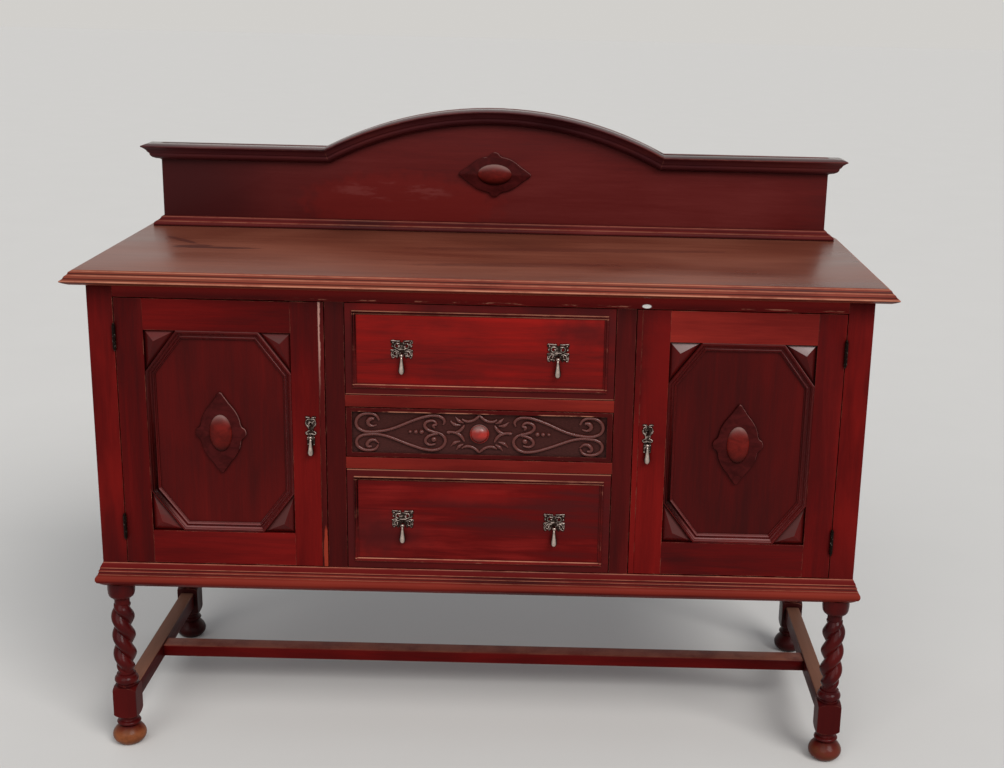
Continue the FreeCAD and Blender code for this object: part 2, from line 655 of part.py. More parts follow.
def carcase_front():
    """Stiles and rails with their mortises and tenons."""
    depth = (FRONT, FRAME_BACK)
    tenon = (FRAME_BACK - (S.frame_depth + S.rail_tenon_thickness) / 2,
             FRAME_BACK - (S.frame_depth - S.rail_tenon_thickness) / 2)

    def bar(x, z, height):
        return box(x, tenon, tuple(z + height * share for share in TENON_SHARES))

    wide = (-STILE - S.rail_tenon_length, STILE + S.rail_tenon_length)
    narrow = (-BANK - S.rail_tenon_length, BANK + S.rail_tenon_length)
    top_bar = bar(wide, RAIL_UNDER, S.top_rail_height)
    bottom_bar = bar(wide, BASE_TOP, S.bottom_rail_height)
    rail_bars = [bar(narrow, z, S.drawer_rail_height) for z in (LOWER_RAIL, UPPER_RAIL)]
    posts = []
    for side in (-1, 1):
        inset = S.divider_stile_width * TENON_SHARES[0]
        posts.append(box(
            sided(side, BANK + inset, DIVIDER - inset), tenon,
            (FLOOR - S.rail_tenon_length, RAIL_UNDER + S.rail_tenon_length)))
    top_rail = fuse(box((-STILE, STILE), depth, (RAIL_UNDER, TOP)), top_bar)
    node("top_rail", cut(top_rail, *posts))
    bottom_rail = fuse(box((-STILE, STILE), depth, (BASE_TOP, FLOOR)), bottom_bar)
    node("bottom_rail", cut(bottom_rail, *posts))
    stiles = []
    for side, post in zip((-1, 1), posts):
        stile = box(sided(side, STILE, HALF), depth, (BASE_TOP, TOP))
        pockets = [hinge_pocket(side, z, False) for z in hinge_heights()]
        stiles.append(cut(stile, top_bar, bottom_bar, *pockets))
        stile = fuse(box(sided(side, BANK, DIVIDER), depth, (FLOOR, RAIL_UNDER)), post)
        strike = S.strike_clearance
        hole = box(
            sided(side, DIVIDER - S.bolt_travel - strike, DIVIDER),
            (LOCK_FRONT + (S.lock_thickness - S.bolt_thickness) / 2 - strike,
             LOCK_FRONT + (S.lock_thickness + S.bolt_thickness) / 2 + strike),
            (LOCK_MIDDLE - S.bolt_height / 2 - strike, LOCK_MIDDLE + S.bolt_height / 2 + strike))
        stiles.append(cut(stile, *rail_bars, hole))
    node("front_stiles", *stiles)
    rails = []
    for z, tenon_bar in zip((LOWER_RAIL, UPPER_RAIL), rail_bars):
        rails.append(fuse(box((-BANK, BANK), depth, (z, z + S.drawer_rail_height)), tenon_bar))
    node("drawer_rails", *rails)


def carcase_box():
    """Base board, floor, sides, partitions, back and what carries the shelves and drawers."""
    base = box((-HALF, HALF), (FRONT, BACK), (BOTTOM, BASE_TOP))
    bores = [
        bore(S.leg_pin_radius + S.leg_pin_clearance, S.leg_pin_length + S.leg_pin_clearance,
             x, y, BOTTOM)
        for x, y in leg_axes()
    ]
    node("base_board", cut(base, *bores))
    node("carcase_floor", box(
        (-INSIDE, INSIDE), (FRAME_BACK, BACK_FACE), (FLOOR - S.floor_thickness, FLOOR)))
    rebate_edge = INSIDE + S.rebate_width
    panel = box((-rebate_edge, rebate_edge), (BACK_FACE, BACK), (BASE_TOP, TOP))
    node("back_panel", panel)
    sides = [
        cut(box(sided(side, INSIDE, HALF), (FRAME_BACK, BACK), (BASE_TOP, TOP)), panel)
        for side in (-1, 1)
    ]
    node("side_panels", *sides)
    node("partitions", *[
        box(sided(side, BANK, PARTITION), (FRAME_BACK, BACK_FACE), (FLOOR, TOP)) for side in (-1, 1)
    ])
    under = FLOOR + S.shelf_height
    span = (FRONT + S.shelf_setback, BACK_FACE)
    shelves = []
    for side in (-1, 1):
        batten = (under - S.batten_height, under)
        shelves.append(box(sided(side, PARTITION, INSIDE), span, (under, under + S.shelf_thickness)))
        shelves.append(box(sided(side, PARTITION, PARTITION + S.batten_width), span, batten))
        shelves.append(box(sided(side, INSIDE - S.batten_width, INSIDE), span, batten))
    node("cupboard_shelves", *shelves)
    runners = []
    for side in (-1, 1):
        door_stop = DOOR_BACK + S.running_gap
        runners.append(box(
            sided(side, DIVIDER, DIVIDER + S.door_stop_width),
            (door_stop, door_stop + S.door_stop_depth), (FLOOR, FLOOR + S.door_stop_height)))
        for z, height in ((LOWER_RAIL, S.drawer_rail_height), (UPPER_RAIL, S.drawer_rail_height),
                          (RAIL_UNDER, S.top_rail_height)):
            runners.append(box(
                sided(side, BANK - S.runner_width, BANK), (FRAME_BACK, BACK_FACE), (z, z + height)))
        for z in (FLOOR, LOWER_RAIL + S.drawer_rail_height, UPPER_RAIL + S.drawer_rail_height):
            stop = DRAWER_BACK + S.running_gap
            runners.append(box(
                sided(side, BANK - S.runner_width, BANK), (stop, stop + S.runner_width),
                (z, z + S.runner_width)))
    node("runners_and_stops", *runners)


def base_moulding():
    lengths = skirt(
        BASE_SHARES, S.base_projection, FLOOR - BOTTOM, HALF, 0, S.carcase_depth)
    node("base_moulding", *[feature(length, 0, FRONT, BOTTOM) for length in lengths])


# Backboard

def backboard():
    owner = body("backboard", 0, BACKBOARD_FACE, SURFACE)
    half = S.backboard_width / 2
    radius = (S.arch_half_width * S.arch_half_width + S.arch_rise * S.arch_rise) / (2 * S.arch_rise)
    outline = [
        (-half, 0), (half, 0), (half, S.backboard_height),
        (S.arch_half_width, S.backboard_height),
        (-S.arch_half_width, S.backboard_height, radius, 1),
        (-half, S.backboard_height),
    ]
    pad(owner, sketch(owner, "XZ_Plane", outline), S.backboard_thickness, reverse=True)
    node("backboard", owner)

    width, height = S.cornice_projection, S.cornice_height
    top = S.backboard_height
    foot = S.arch_half_width
    crown_centre = top + S.arch_rise - radius
    slope = math.asin(foot / radius)
    break_normal = Vector(math.cos(slope / 2), 0, math.sin(slope / 2))
    lengths = []
    for side in (-1, 1):
        reach = half + width
        run_length = reach - foot + width
        profile = outline_face(
            CORNICE_SHARES, width, height, lambda out, down: Vector(side * reach, -out, top - down))
        run = profile.extrude(Vector(-side * run_length, 0, 0))
        corner = Vector(side * half, 0, 0)
        run = trim(run, corner, Vector(side, 1, 0))
        inner = Vector(-side * break_normal.x, 0, break_normal.z)
        lengths.append(trim(run, Vector(side * foot, 0, top), inner))
        profile = outline_face(
            CORNICE_SHARES, width, height, lambda out, down: Vector(side * (half + out), -width, top - down))
        end_run = profile.extrude(Vector(0, S.backboard_thickness + width, 0))
        lengths.append(trim(end_run, corner, Vector(-side, -1, 0)))
    profile = outline_face(
        CORNICE_SHARES, width, height,
        lambda out, down: Vector(0, -out, crown_centre + radius - down))
    spare = math.degrees(width / radius)
    turn = 2 * (math.degrees(slope) + spare)
    arch = profile.revolve(Vector(0, 0, crown_centre), Vector(0, 1, 0), turn)
    arch.rotate(Vector(0, 0, crown_centre), Vector(0, 1, 0), -turn / 2)
    for side in (-1, 1):
        outer = Vector(side * break_normal.x, 0, -break_normal.z)
        arch = trim(arch, Vector(side * foot, 0, top), outer)
    lengths.append(arch)
    node("backboard_cornice", *[feature(length, 0, BACKBOARD_FACE, SURFACE) for length in lengths])

    strip = skirt(
        STRIP_SHARES, S.strip_projection, S.strip_height, half, 0, S.backboard_thickness)
    node("backboard_strip", *[feature(length, 0, BACKBOARD_FACE, SURFACE) for length in strip])

    middle = SURFACE + (S.backboard_height + S.arch_rise + S.strip_height - height) / 2
    lozenge = cartouche(S.board_cartouche_length, S.board_cartouche_width, False)
    stone = dome(S.board_jewel_length, S.board_jewel_width, S.jewel_rise)
    node("backboard_cartouche", feature(lozenge, 0, BACKBOARD_FACE, middle),
         feature(stone, 0, BACKBOARD_FACE - S.cartouche_thickness, middle))


# Legs and stretchers

def leg_axes():
    inset_x = HALF - S.leg_setback
    return [(side * inset_x, y) for y in (FRONT + S.leg_setback, BACK - S.leg_setback) for side in (-1, 1)]


def turned(steps, sides=TURNED_SIDES):
    """Turned piece on the Z axis from (radius, height) steps; ("arc", via, end) bulges to its end."""
    profile = [steps[0]]
    for step in steps[1:]:
        if step[0] == "arc":
            start, via, end = (Vector(r, 0, z) for r, z in (profile[-1], step[1], step[2]))
            curve = Part.Arc(start, via, end).toShape()
            profile += [(point.x, point.z) for point in curve.discretize(Number=ARC_POINTS)[1:]]
        else:
            profile.append(step)
    angles = [2 * math.pi * (side + 0.5) / sides for side in range(sides)]
    return skin([
        [Vector(radius * math.cos(angle), radius * math.sin(angle), height) for angle in angles]
        for radius, height in profile
    ])


def rope_twist(low, high, hand):
    """Two ropes wound round each other; both ends taper into a round neck."""
    corners, steps = ROPE_CORNERS, ROPE_STEPS
    length = high - low
    taper = S.neck_radius * TAPER_SHARE
    rows = []
    for step in range(steps + 1):
        height = length * step / steps
        reach = min(height, length - height) / S.rope_taper
        blend = min(reach, 1)
        blend = blend * blend * (3 - 2 * blend)
        turn = hand * 2 * math.pi * height / S.rope_pitch
        row = []
        for corner in range(corners):
            angle = 2 * math.pi * corner / corners
            across = S.rope_offset * math.sin(angle)
            full = S.rope_offset * abs(math.cos(angle)) + math.sqrt(S.rope_radius ** 2 - across ** 2)
            radius = taper + (full - taper) * blend
            row.append(Vector(
                radius * math.cos(angle + turn), radius * math.sin(angle + turn), low + height))
        rows.append(row)
    faces = [Part.Face(Part.makePolygon(row + row[:1])) for row in (rows[0], rows[-1])]
    for lower, upper in zip(rows, rows[1:]):
        for corner in range(corners):
            a, b = lower[corner - 1], lower[corner]
            c, d = upper[corner], upper[corner - 1]
            for triangle in ((a, b, c), (a, c, d)) if hand > 0 else ((a, b, d), (b, c, d)):
                faces.append(Part.Face(Part.makePolygon(list(triangle) + [triangle[0]])))
    shell = Part.makeShell(faces)
    shell.sewShape()
    return Part.makeSolid(shell)


def leg(hand):
    """Turned leg on the Z axis, standing on z = 0, with its stretcher mortise at the back."""
    bun = S.bun_height
    ring_top = bun + S.lower_ring_height
    block_low = ring_top + S.lower_cove_height
    block_high = block_low + S.leg_block_height
    fillet = S.ring_fillet_radius
    ring_low = block_high + S.ring_fillet_height
    ring_high = ring_low + S.ring_height
    neck_low = ring_high + S.ring_fillet_height
    twist_low = neck_low + S.foot_neck_length
    cap_low = S.leg_length - S.cap_height
    ovolo_low = cap_low - S.cap_cove_height
    neck_high = ovolo_low - S.cap_fillet_height
    twist_high = neck_high - S.neck_length
    neck, cap = S.neck_radius, S.cap_radius
    lower = turned([
        (S.bun_base_radius, 0),
        ("arc", (S.bun_radius, bun / 2), (S.bun_top_radius, bun)),
        (fillet, bun),
        ("arc", (S.ring_radius, bun + S.lower_ring_height / 2), (fillet, ring_top)),
        ("arc", (fillet - S.ring_fillet_height / 2, (ring_top + block_low) / 2), (fillet, block_low)),
        (fillet, block_low + S.leg_block_shoulder),
    ])
    upper = turned([
        (fillet, block_high - S.leg_block_shoulder), (fillet, ring_low),
        ("arc", (S.ring_radius, (ring_low + ring_high) / 2), (fillet, ring_high)),
        (fillet, neck_low), (neck, neck_low), (neck, twist_low),
    ])
    bulge = (neck + (cap - neck) * OVOLO_SHARE, ovolo_low + S.cap_cove_height * (1 - OVOLO_SHARE))
    cap_part = turned([
        (neck, twist_high), (neck, neck_high),
        (neck + S.cap_fillet_height, neck_high), (neck + S.cap_fillet_height, ovolo_low),
        ("arc", bulge, (cap, cap_low)),
        (cap, S.leg_length), (S.leg_pin_radius, S.leg_length),
        (S.leg_pin_radius, S.leg_length + S.leg_pin_length),
    ])
    half = S.leg_block_width / 2
    block = Part.makeBox(
        S.leg_block_width, S.leg_block_width, S.leg_block_height, Vector(-half, -half, block_low))
    corner = half * math.sqrt(2) / math.cos(math.pi / TURNED_SIDES)
    barrel = turned([
        (half, block_low), (corner, block_low + S.leg_block_shoulder),
        (corner, block_high - S.leg_block_shoulder), (half, block_high),
    ])
    twist = rope_twist(twist_low - S.rope_seat, twist_high + S.rope_seat, hand)
    whole = block.common(barrel).multiFuse([lower, upper, cap_part, twist])
    mortise = Part.makeBox(
        S.stretcher_tenon_width, S.stretcher_tenon_length, S.stretcher_tenon_height,
        Vector(-S.stretcher_tenon_width / 2, half - S.stretcher_tenon_length,
               block_high - S.stretcher_drop - (S.stretcher_height + S.stretcher_tenon_height) / 2))
    return whole.cut(mortise)


def legs_and_stretchers():
    shapes = {-1: leg(-1), 1: leg(1)}
    for x, y in leg_axes():
        side = 1 if x > 0 else -1
        at_front = y < 0
        made = feature(shapes[side], x, y, 0)
        if not at_front:
            made.Placement.Rotation = Rotation(Vector(0, 0, 1), 180)
        node(f"{'front' if at_front else 'rear'}_{'right' if side > 0 else 'left'}_leg", made)
    block_half = S.leg_block_width / 2
    high = (S.bun_height + S.lower_ring_height + S.lower_cove_height + S.leg_block_height
            - S.stretcher_drop)
    low = high - S.stretcher_height
    middle = (low + high) / 2
    reach_front = FRONT + S.leg_setback + block_half
    reach_back = BACK - S.leg_setback - block_half
    long_front = FRONT + S.long_stretcher_setback
    long_back = long_front + S.long_stretcher_width
    long_low = middle - S.long_stretcher_height / 2
    inner = HALF - S.leg_setback - S.stretcher_width / 2
    long_tenon = box(
        (-inner - S.long_tenon_length, inner + S.long_tenon_length),
        (long_front + S.stretcher_tenon_width, long_back - S.stretcher_tenon_width),
        (middle - S.long_tenon_height / 2, middle + S.long_tenon_height / 2))
    easing = S.stretcher_easing
    rails = []
    for side in (-1, 1):
        axis = HALF - S.leg_setback
        rail = body("side_rail", side * axis, reach_front, low)
        across = S.stretcher_width / 2
        outline = [
            (-across, 0), (across, 0), (across, S.stretcher_height - easing),
            (across - easing, S.stretcher_height), (easing - across, S.stretcher_height),
            (-across, S.stretcher_height - easing),
        ]
        pad(rail, sketch(rail, "XZ_Plane", outline), reach_back - reach_front, reverse=True)
        tenon = box(
            sided(side, axis - S.stretcher_tenon_width / 2, axis + S.stretcher_tenon_width / 2),
            (reach_front - S.stretcher_tenon_length, reach_back + S.stretcher_tenon_length),
            (middle - S.stretcher_tenon_height / 2, middle + S.stretcher_tenon_height / 2))
        rails.append(cut(fuse(rail, tenon), long_tenon))
    node("side_stretchers", *rails)
    bar = body("long_rail", 0, long_front, long_low)
    outline = [
        (0, 0), (S.long_stretcher_width, 0), (S.long_stretcher_width, S.long_stretcher_height - easing),
        (S.long_stretcher_width - easing, S.long_stretcher_height), (easing, S.long_stretcher_height),
        (0, S.long_stretcher_height - easing),
    ]
    pad(bar, sketch(bar, "YZ_Plane", outline), inner * 2, middle=True)
    node("long_stretcher", fuse(bar, long_tenon))


# Hinges, locks and pulls

def hinge_heights():
    return [DOOR_LOW + S.hinge_inset, DOOR_HIGH - S.hinge_inset]


def leaf_span(side, on_door):
    if on_door:
        return sided(side, DOOR_FAR - S.leaf_thickness, DOOR_FAR)
    return sided(side, STILE, STILE + S.leaf_thickness)


def hinge_pocket(side, z, on_door):
    """Housing cut in the wood for a hinge leaf."""
    return box(
        leaf_span(side, on_door), (FRONT, FRONT + S.leaf_depth),
        (z - S.hinge_length / 2, z + S.hinge_length / 2))


def hinge_leaf(side, z, on_door):
    """Leaf with its knuckles: the middle one on the door, the outer two on the carcase."""
    low = z - S.hinge_length / 2
    knuckle = (S.hinge_length - S.knuckle_gap * 2) / 3
    step = knuckle + S.knuckle_gap
    starts = [low + step] if on_door else [low, low + step * 2]
    across = leaf_span(side, on_door)
    pieces = [box(across, (LEAF_START, FRONT + S.leaf_depth), (low, low + S.hinge_length))]
    for start in starts:
        pieces.append(box(across, (HINGE_Y, LEAF_START), (start, start + knuckle)))
        pieces.append(rod(S.knuckle_radius, knuckle, HINGE_X * side, HINGE_Y, start))
    if on_door:
        hole = bore(
            S.hinge_pin_radius + S.hinge_pin_clearance, S.hinge_length, HINGE_X * side, HINGE_Y, low)
        return cut(fuse(*pieces), hole)
    return fuse(*pieces, hinge_pin(side, low))


def hinge_pin(side, low):
    """Pin with a tip at each end."""
    pin, tip, point, length = S.hinge_pin_radius, S.hinge_tip_radius, S.hinge_tip_height, S.hinge_length
    shape = turned([
        (pin, -point), (tip, -point / 2), (tip, 0), (pin, 0),
        (pin, length), (tip, length), (tip, length + point / 2), (pin, length + point),
    ], ROD_SIDES)
    return feature(shape, HINGE_X * side, HINGE_Y, low)


def frame_hinges():
    node("frame_hinges", *[
        hinge_leaf(side, z, False) for side in (-1, 1) for z in hinge_heights()
    ])


def halves(shares, half_width, half_height):
    """Whole outline of (x, z) points from its right half, which runs from the top down."""
    right = [(half_width * x, half_height * z) for x, z in shares]
    left = [(-x, z) for x, z in reversed(right[1:-1])]
    return right + left


def pull_plate(shares, width, height, x, face, z, pin_z):
    """Brass plate with two ears and the pin that a drop hangs on."""
    plate = body("plate", x, face, z)
    pad(plate, sketch(plate, "XZ_Plane", halves(shares, width / 2, height / 2)), S.plate_thickness)
    near = S.drop_tab_width / 2 + S.ear_gap
    axis_y = face - S.plate_thickness - S.drop_axis_rise
    ears = []
    for start in (x - near - S.ear_thickness, x + near):
        ears.append(box(
            (start, start + S.ear_thickness),
            (axis_y - S.drop_pin_radius * 2, face - S.plate_thickness),
            (pin_z - S.drop_tab_radius, pin_z + S.drop_tab_radius)))
    pin = rod(
        S.drop_pin_radius, near * 2 + S.ear_thickness, x - near - S.ear_thickness / 2, axis_y, pin_z,
        along=(1, 0, 0))
    return fuse(plate, pin, *ears)


def drop(label, x, face, z):
    """Teardrop that swings on the pin of its plate."""
    axis_y = face - S.plate_thickness - S.drop_axis_rise
    tear = turned(
        [(S.drop_radius * across, -S.drop_length * down) for across, down in TEARDROP_SHARES],
        DROP_SIDES)
    eye = rod(S.drop_tab_radius, S.drop_tab_width, x - S.drop_tab_width / 2, axis_y, z, along=(1, 0, 0))
    hole = bore(
        S.drop_pin_radius + S.drop_pin_clearance, S.drop_tab_width * 2, x - S.drop_tab_width, axis_y, z,
        along=(1, 0, 0))
    node(label, cut(fuse(feature(tear, x, axis_y, z), eye), hole))


# Doors

def keyhole(x, z):
    """Hole for the key, from in front of the plate to the middle of the lock."""
    start = FRONT - S.plate_thickness * 2
    depth = LOCK_FRONT + S.lock_thickness / 2 - start
    slot = S.keyhole_slot / 2
    return [
        rod(S.keyhole_radius, depth, x, start, z, along=(0, 1, 0)),
        box((x - slot, x + slot), (start, start + depth), (z - S.keyhole_length, z)),
    ]


def lock_box(side, depth):
    return box(
        sided(side, DOOR_NEAR, DOOR_NEAR + depth), (LOCK_FRONT, LOCK_FRONT + S.lock_thickness),
        (LOCK_MIDDLE - S.lock_height / 2, LOCK_MIDDLE + S.lock_height / 2))


def bolt_box(side, depth, clearance):
    thin = S.bolt_thickness / 2 + clearance
    tall = S.bolt_height / 2 + clearance
    middle = LOCK_FRONT + S.lock_thickness / 2
    return box(
        sided(side, DOOR_NEAR, DOOR_NEAR + depth), (middle - thin, middle + thin),
        (LOCK_MIDDLE - tall, LOCK_MIDDLE + tall))


def pyramid(points):
    """Block on a triangle of (x, z) points: an upright edge, then three faces to a peak."""
    base = [Vector(x, 0, z) for x, z in points]
    lengths = [(base[index - 1] - base[index - 2]).Length for index in range(3)]
    peak = sum((point * length for point, length in zip(base, lengths)), Vector()) / sum(lengths)
    peak.y = -S.pyramid_rise
    edge = [point + Vector(0, -S.pyramid_edge, 0) for point in base]
    faces = [Part.Face(Part.makePolygon(base + base[:1]))]
    for index in range(3):
        low, high = (base[index - 1], base[index]), (edge[index], edge[index - 1])
        faces.append(Part.Face(Part.makePolygon([*low, *high, low[0]])))
        faces.append(Part.Face(Part.makePolygon([edge[index - 1], edge[index], peak, edge[index - 1]])))
    return Part.makeSolid(Part.makeShell(faces))


def inset_triangle(points, gap):
    """Triangle with each side moved inward by a gap."""
    corners = [Vector(x, 0, z) for x, z in points]
    moved = []
    for index in range(3):
        at, before, after = corners[index], corners[index - 1], corners[(index + 1) % 3]
        first, second = (before - at).normalize(), (after - at).normalize()
        half_angle = first.getAngle(second) / 2
        inward = (first + second).normalize()
        place = at + inward * (gap / math.sin(half_angle))
        moved.append((place.x, place.z))
    return moved


def door(side):
    """Framed door with its raised octagon, corner blocks, cartouche, lock and drop."""
    name = "left_door" if side < 0 else "right_door"
    depth, upright = (FRONT, DOOR_BACK), (DOOR_LOW, DOOR_HIGH)
    sunk = (PANEL_FACE, PANEL_FACE + S.panel_thickness)
    tongue = S.panel_tongue
    panel = box(
        sided(side, PANEL_NEAR - tongue, PANEL_FAR + tongue), sunk,
        (PANEL_LOW - tongue, PANEL_HIGH + tongue))
    opening = sided(side, PANEL_NEAR, PANEL_FAR)
    reach = sided(side, PANEL_NEAR - S.door_tenon_length, PANEL_FAR + S.door_tenon_length)
    bars = [
        box(reach, sunk, (DOOR_LOW + S.door_tenon_shoulder, PANEL_LOW - tongue)),
        box(reach, sunk, (PANEL_HIGH + tongue, DOOR_HIGH - S.door_tenon_shoulder)),
    ]
    bottom_rail = cut(fuse(box(opening, depth, (DOOR_LOW, PANEL_LOW)), bars[0]), panel)
    top_rail = cut(fuse(box(opening, depth, (PANEL_HIGH, DOOR_HIGH)), bars[1]), panel)
    strip_edge = DOOR_NEAR + S.edge_strip_width
    lock_space = lock_box(side, S.lock_depth)
    key_x = (DOOR_NEAR + S.escutcheon_inset) * side
    key = keyhole(key_x, LOCK_MIDDLE)
    closing = cut(box(sided(side, strip_edge, PANEL_NEAR), depth, upright), panel, *bars, lock_space, *key)
    strip = cut(
        box(sided(side, DOOR_NEAR, strip_edge), (FRONT - S.edge_strip_rise, DOOR_BACK), upright),
        lock_space)
    pockets = [hinge_pocket(side, z, True) for z in hinge_heights()]
    hinge_stile = cut(box(sided(side, PANEL_FAR, DOOR_FAR), depth, upright), panel, *bars, *pockets)
    node(f"{name}_frame", closing, strip, hinge_stile, bottom_rail, top_rail)
    node(f"{name}_panel", panel)

    half_x, half_z = (PANEL_FAR - PANEL_NEAR) / 2, (PANEL_HIGH - PANEL_LOW) / 2
    cut_x, cut_z = S.octagon_cut_width, S.octagon_cut_height
    middle = ((PANEL_NEAR + PANEL_FAR) / 2 * side, PANEL_FACE, (PANEL_LOW + PANEL_HIGH) / 2)
    corners = [
        (-half_x + cut_x, -half_z), (half_x - cut_x, -half_z), (half_x, -half_z + cut_z),
        (half_x, half_z - cut_z), (half_x - cut_x, half_z), (-half_x + cut_x, half_z),
        (-half_x, half_z - cut_z), (-half_x, -half_z + cut_z),
    ]
    lengths = mitred_frame(corners, OCTAGON_SHARES, S.octagon_width, S.octagon_rise)
    node(f"{name}_octagon", *[feature(length, *middle) for length in lengths])
    blocks = []
    for x in (-1, 1):
        for z in (-1, 1):
            corner = [
                (x * half_x, z * half_z), (x * (half_x - cut_x), z * half_z),
                (x * half_x, z * (half_z - cut_z)),
            ]
            blocks.append(feature(pyramid(inset_triangle(corner, S.pyramid_gap)), *middle))
    node(f"{name}_pyramids", *blocks)
    lozenge = cartouche(S.cartouche_length, S.cartouche_width, True)
    stone = dome(S.jewel_length, S.jewel_width, S.jewel_rise, True)
    node(f"{name}_cartouche", feature(lozenge, *middle),
         feature(stone, middle[0], PANEL_FACE - S.cartouche_thickness, middle[2]))

    node(f"{name}_hinge_leaves", *[hinge_leaf(side, z, True) for z in hinge_heights()])
    channel = bolt_box(side, S.bolt_length + S.bolt_clearance, S.bolt_clearance)
    node(f"{name}_lock", cut(lock_box(side, S.lock_depth), channel, *key))
    node(f"{name}_bolt", bolt_box(side, S.bolt_length, 0))
    pin_z = ESCUTCHEON_MIDDLE + S.escutcheon_height * ESCUTCHEON_PIN_SHARE
    plate = pull_plate(
        ESCUTCHEON_SHARES, S.escutcheon_width, S.escutcheon_height, key_x, FRONT,
        ESCUTCHEON_MIDDLE, pin_z)
    node(f"{name}_escutcheon", cut(plate, *key))
    drop(f"{name}_drop", key_x, FRONT, pin_z)


# Drawers

def drawer_side(x, low, height):
    """Side whose front end is cut into dovetails."""
    owner = body("drawer_side", x, DOOR_BACK, low)
    length = DRAWER_BACK - DOOR_BACK
    count = max(1, round(height / S.dovetail_pitch))
    pitch = height / count
    outline = [(0, 0), (length, 0), (length, height), (0, height)]
    for index in reversed(range(count)):
        middle = pitch * (index + 0.5)
        root, end = (pitch * share for share in DOVETAIL_SHARES)
        outline += [
            (0, middle + root), (-S.dovetail_depth, middle + end),
            (-S.dovetail_depth, middle - end), (0, middle - root),
        ]
    pad(owner, sketch(owner, "YZ_Plane", outline), S.drawer_side_thickness)
    return owner


def drawer(name, low, opening):
    """Front and box of a drawer; returns the middle height and half the height of its front."""
    side_low = low + S.running_gap
    side_height = opening - S.running_gap - S.drawer_headroom
    inner = DRAWER_HALF - S.drawer_side_thickness
    sides = [drawer_side(x, side_low, side_height) for x in (-DRAWER_HALF, inner)]
    bottom_low = side_low + S.drawer_bottom_lift
    bottom_top = bottom_low + S.drawer_bottom_thickness
    reach = inner + S.drawer_groove
    bottom = box(
        (-reach, reach), (DOOR_BACK - S.drawer_groove, DRAWER_BACK), (bottom_low, bottom_top))
    back = box(
        (-inner, inner), (DRAWER_BACK - S.drawer_side_thickness, DRAWER_BACK),
        (bottom_top, side_low + side_height - S.drawer_groove))
    front = box(
        (-DRAWER_HALF, DRAWER_HALF), (FRONT, DOOR_BACK),
        (low + S.front_gap, low + opening - S.front_gap))
    tools = [*sides, bottom]
    if name == "carved":
        field = DRAWER_HALF - S.field_end
        tools.append(box(
            (-field, field), (FRONT, FRONT + S.field_depth),
            (low + S.front_gap + S.field_margin, low + opening - S.front_gap - S.field_margin)))
    node(f"{name}_drawer_front", cut(front, *tools))
    node(f"{name}_drawer_box", *[cut(side, bottom) for side in sides], bottom, back)
    return low + opening / 2, opening / 2 - S.front_gap


def plain_drawer(name, low, opening):
    """Drawer with a bead round its front, two plates and two drops."""
    middle, half_z = drawer(name, low, opening)
    half_x = DRAWER_HALF - S.bead_inset
    half_z -= S.bead_inset
    corners = [(-half_x, -half_z), (half_x, -half_z), (half_x, half_z), (-half_x, half_z)]
    lengths = mitred_frame(corners, BEAD_SHARES, S.bead_width, S.bead_rise)
    node(f"{name}_drawer_bead", *[feature(length, 0, FRONT, middle) for length in lengths])
    pin_z = middle + S.drawer_plate_height * PLATE_PIN_SHARE
    plates = []
    for side in (-1, 1):
        x = S.plate_spacing / 2 * side
        plate = pull_plate(
            PLATE_SHARES, S.drawer_plate_width, S.drawer_plate_height, x, FRONT, middle, pin_z)
        half = S.piercing_width / 2
        holes = [
            box((x + hole_x - half, x + hole_x + half), (FRONT - S.plate_thickness, FRONT),
                (middle + hole_z - half, middle + hole_z + half))
            for hole_x, hole_z in pierced(S.drawer_plate_width / 2, S.drawer_plate_height / 2)
        ]
        plates.append(cut(plate, *holes))
    node(f"{name}_drawer_plates", *plates)
    for side, place in ((-1, "left"), (1, "right")):
        drop(f"{name}_drawer_{place}_drop", S.plate_spacing / 2 * side, FRONT, pin_z)


def pierced(half_width, half_height):
    return [
        (half_width * x * side, half_height * z) for x, z in PLATE_HOLE_SHARES for side in (-1, 1)
    ]


def band(points, width, rise, closed=False):
    """Strip of even width that follows (x, z) points and stands up from y = 0."""
    path = [Vector(x, 0, z) for x, z in points]
    count = len(path)
    first, second = [], []
    for index, at in enumerate(path):
        before = path[index - 1] if closed or index else at
        after = path[(index + 1) % count] if closed or index + 1 < count else at
        along = (after - before).normalize()
        normal = Vector(-along.z, 0, along.x) * (width / 2)
        first.append(at + normal)
        second.append(at - normal)
    if not closed:
        outline = first + second[::-1]
        return Part.Face(Part.makePolygon(outline + outline[:1])).extrude(Vector(0, -rise, 0))
    faces = [Part.Face(Part.makePolygon(ring + ring[:1])) for ring in (first, second)]
    larger, smaller = sorted(faces, key=lambda face: face.Area, reverse=True)
    return larger.cut(smaller).extrude(Vector(0, -rise, 0))


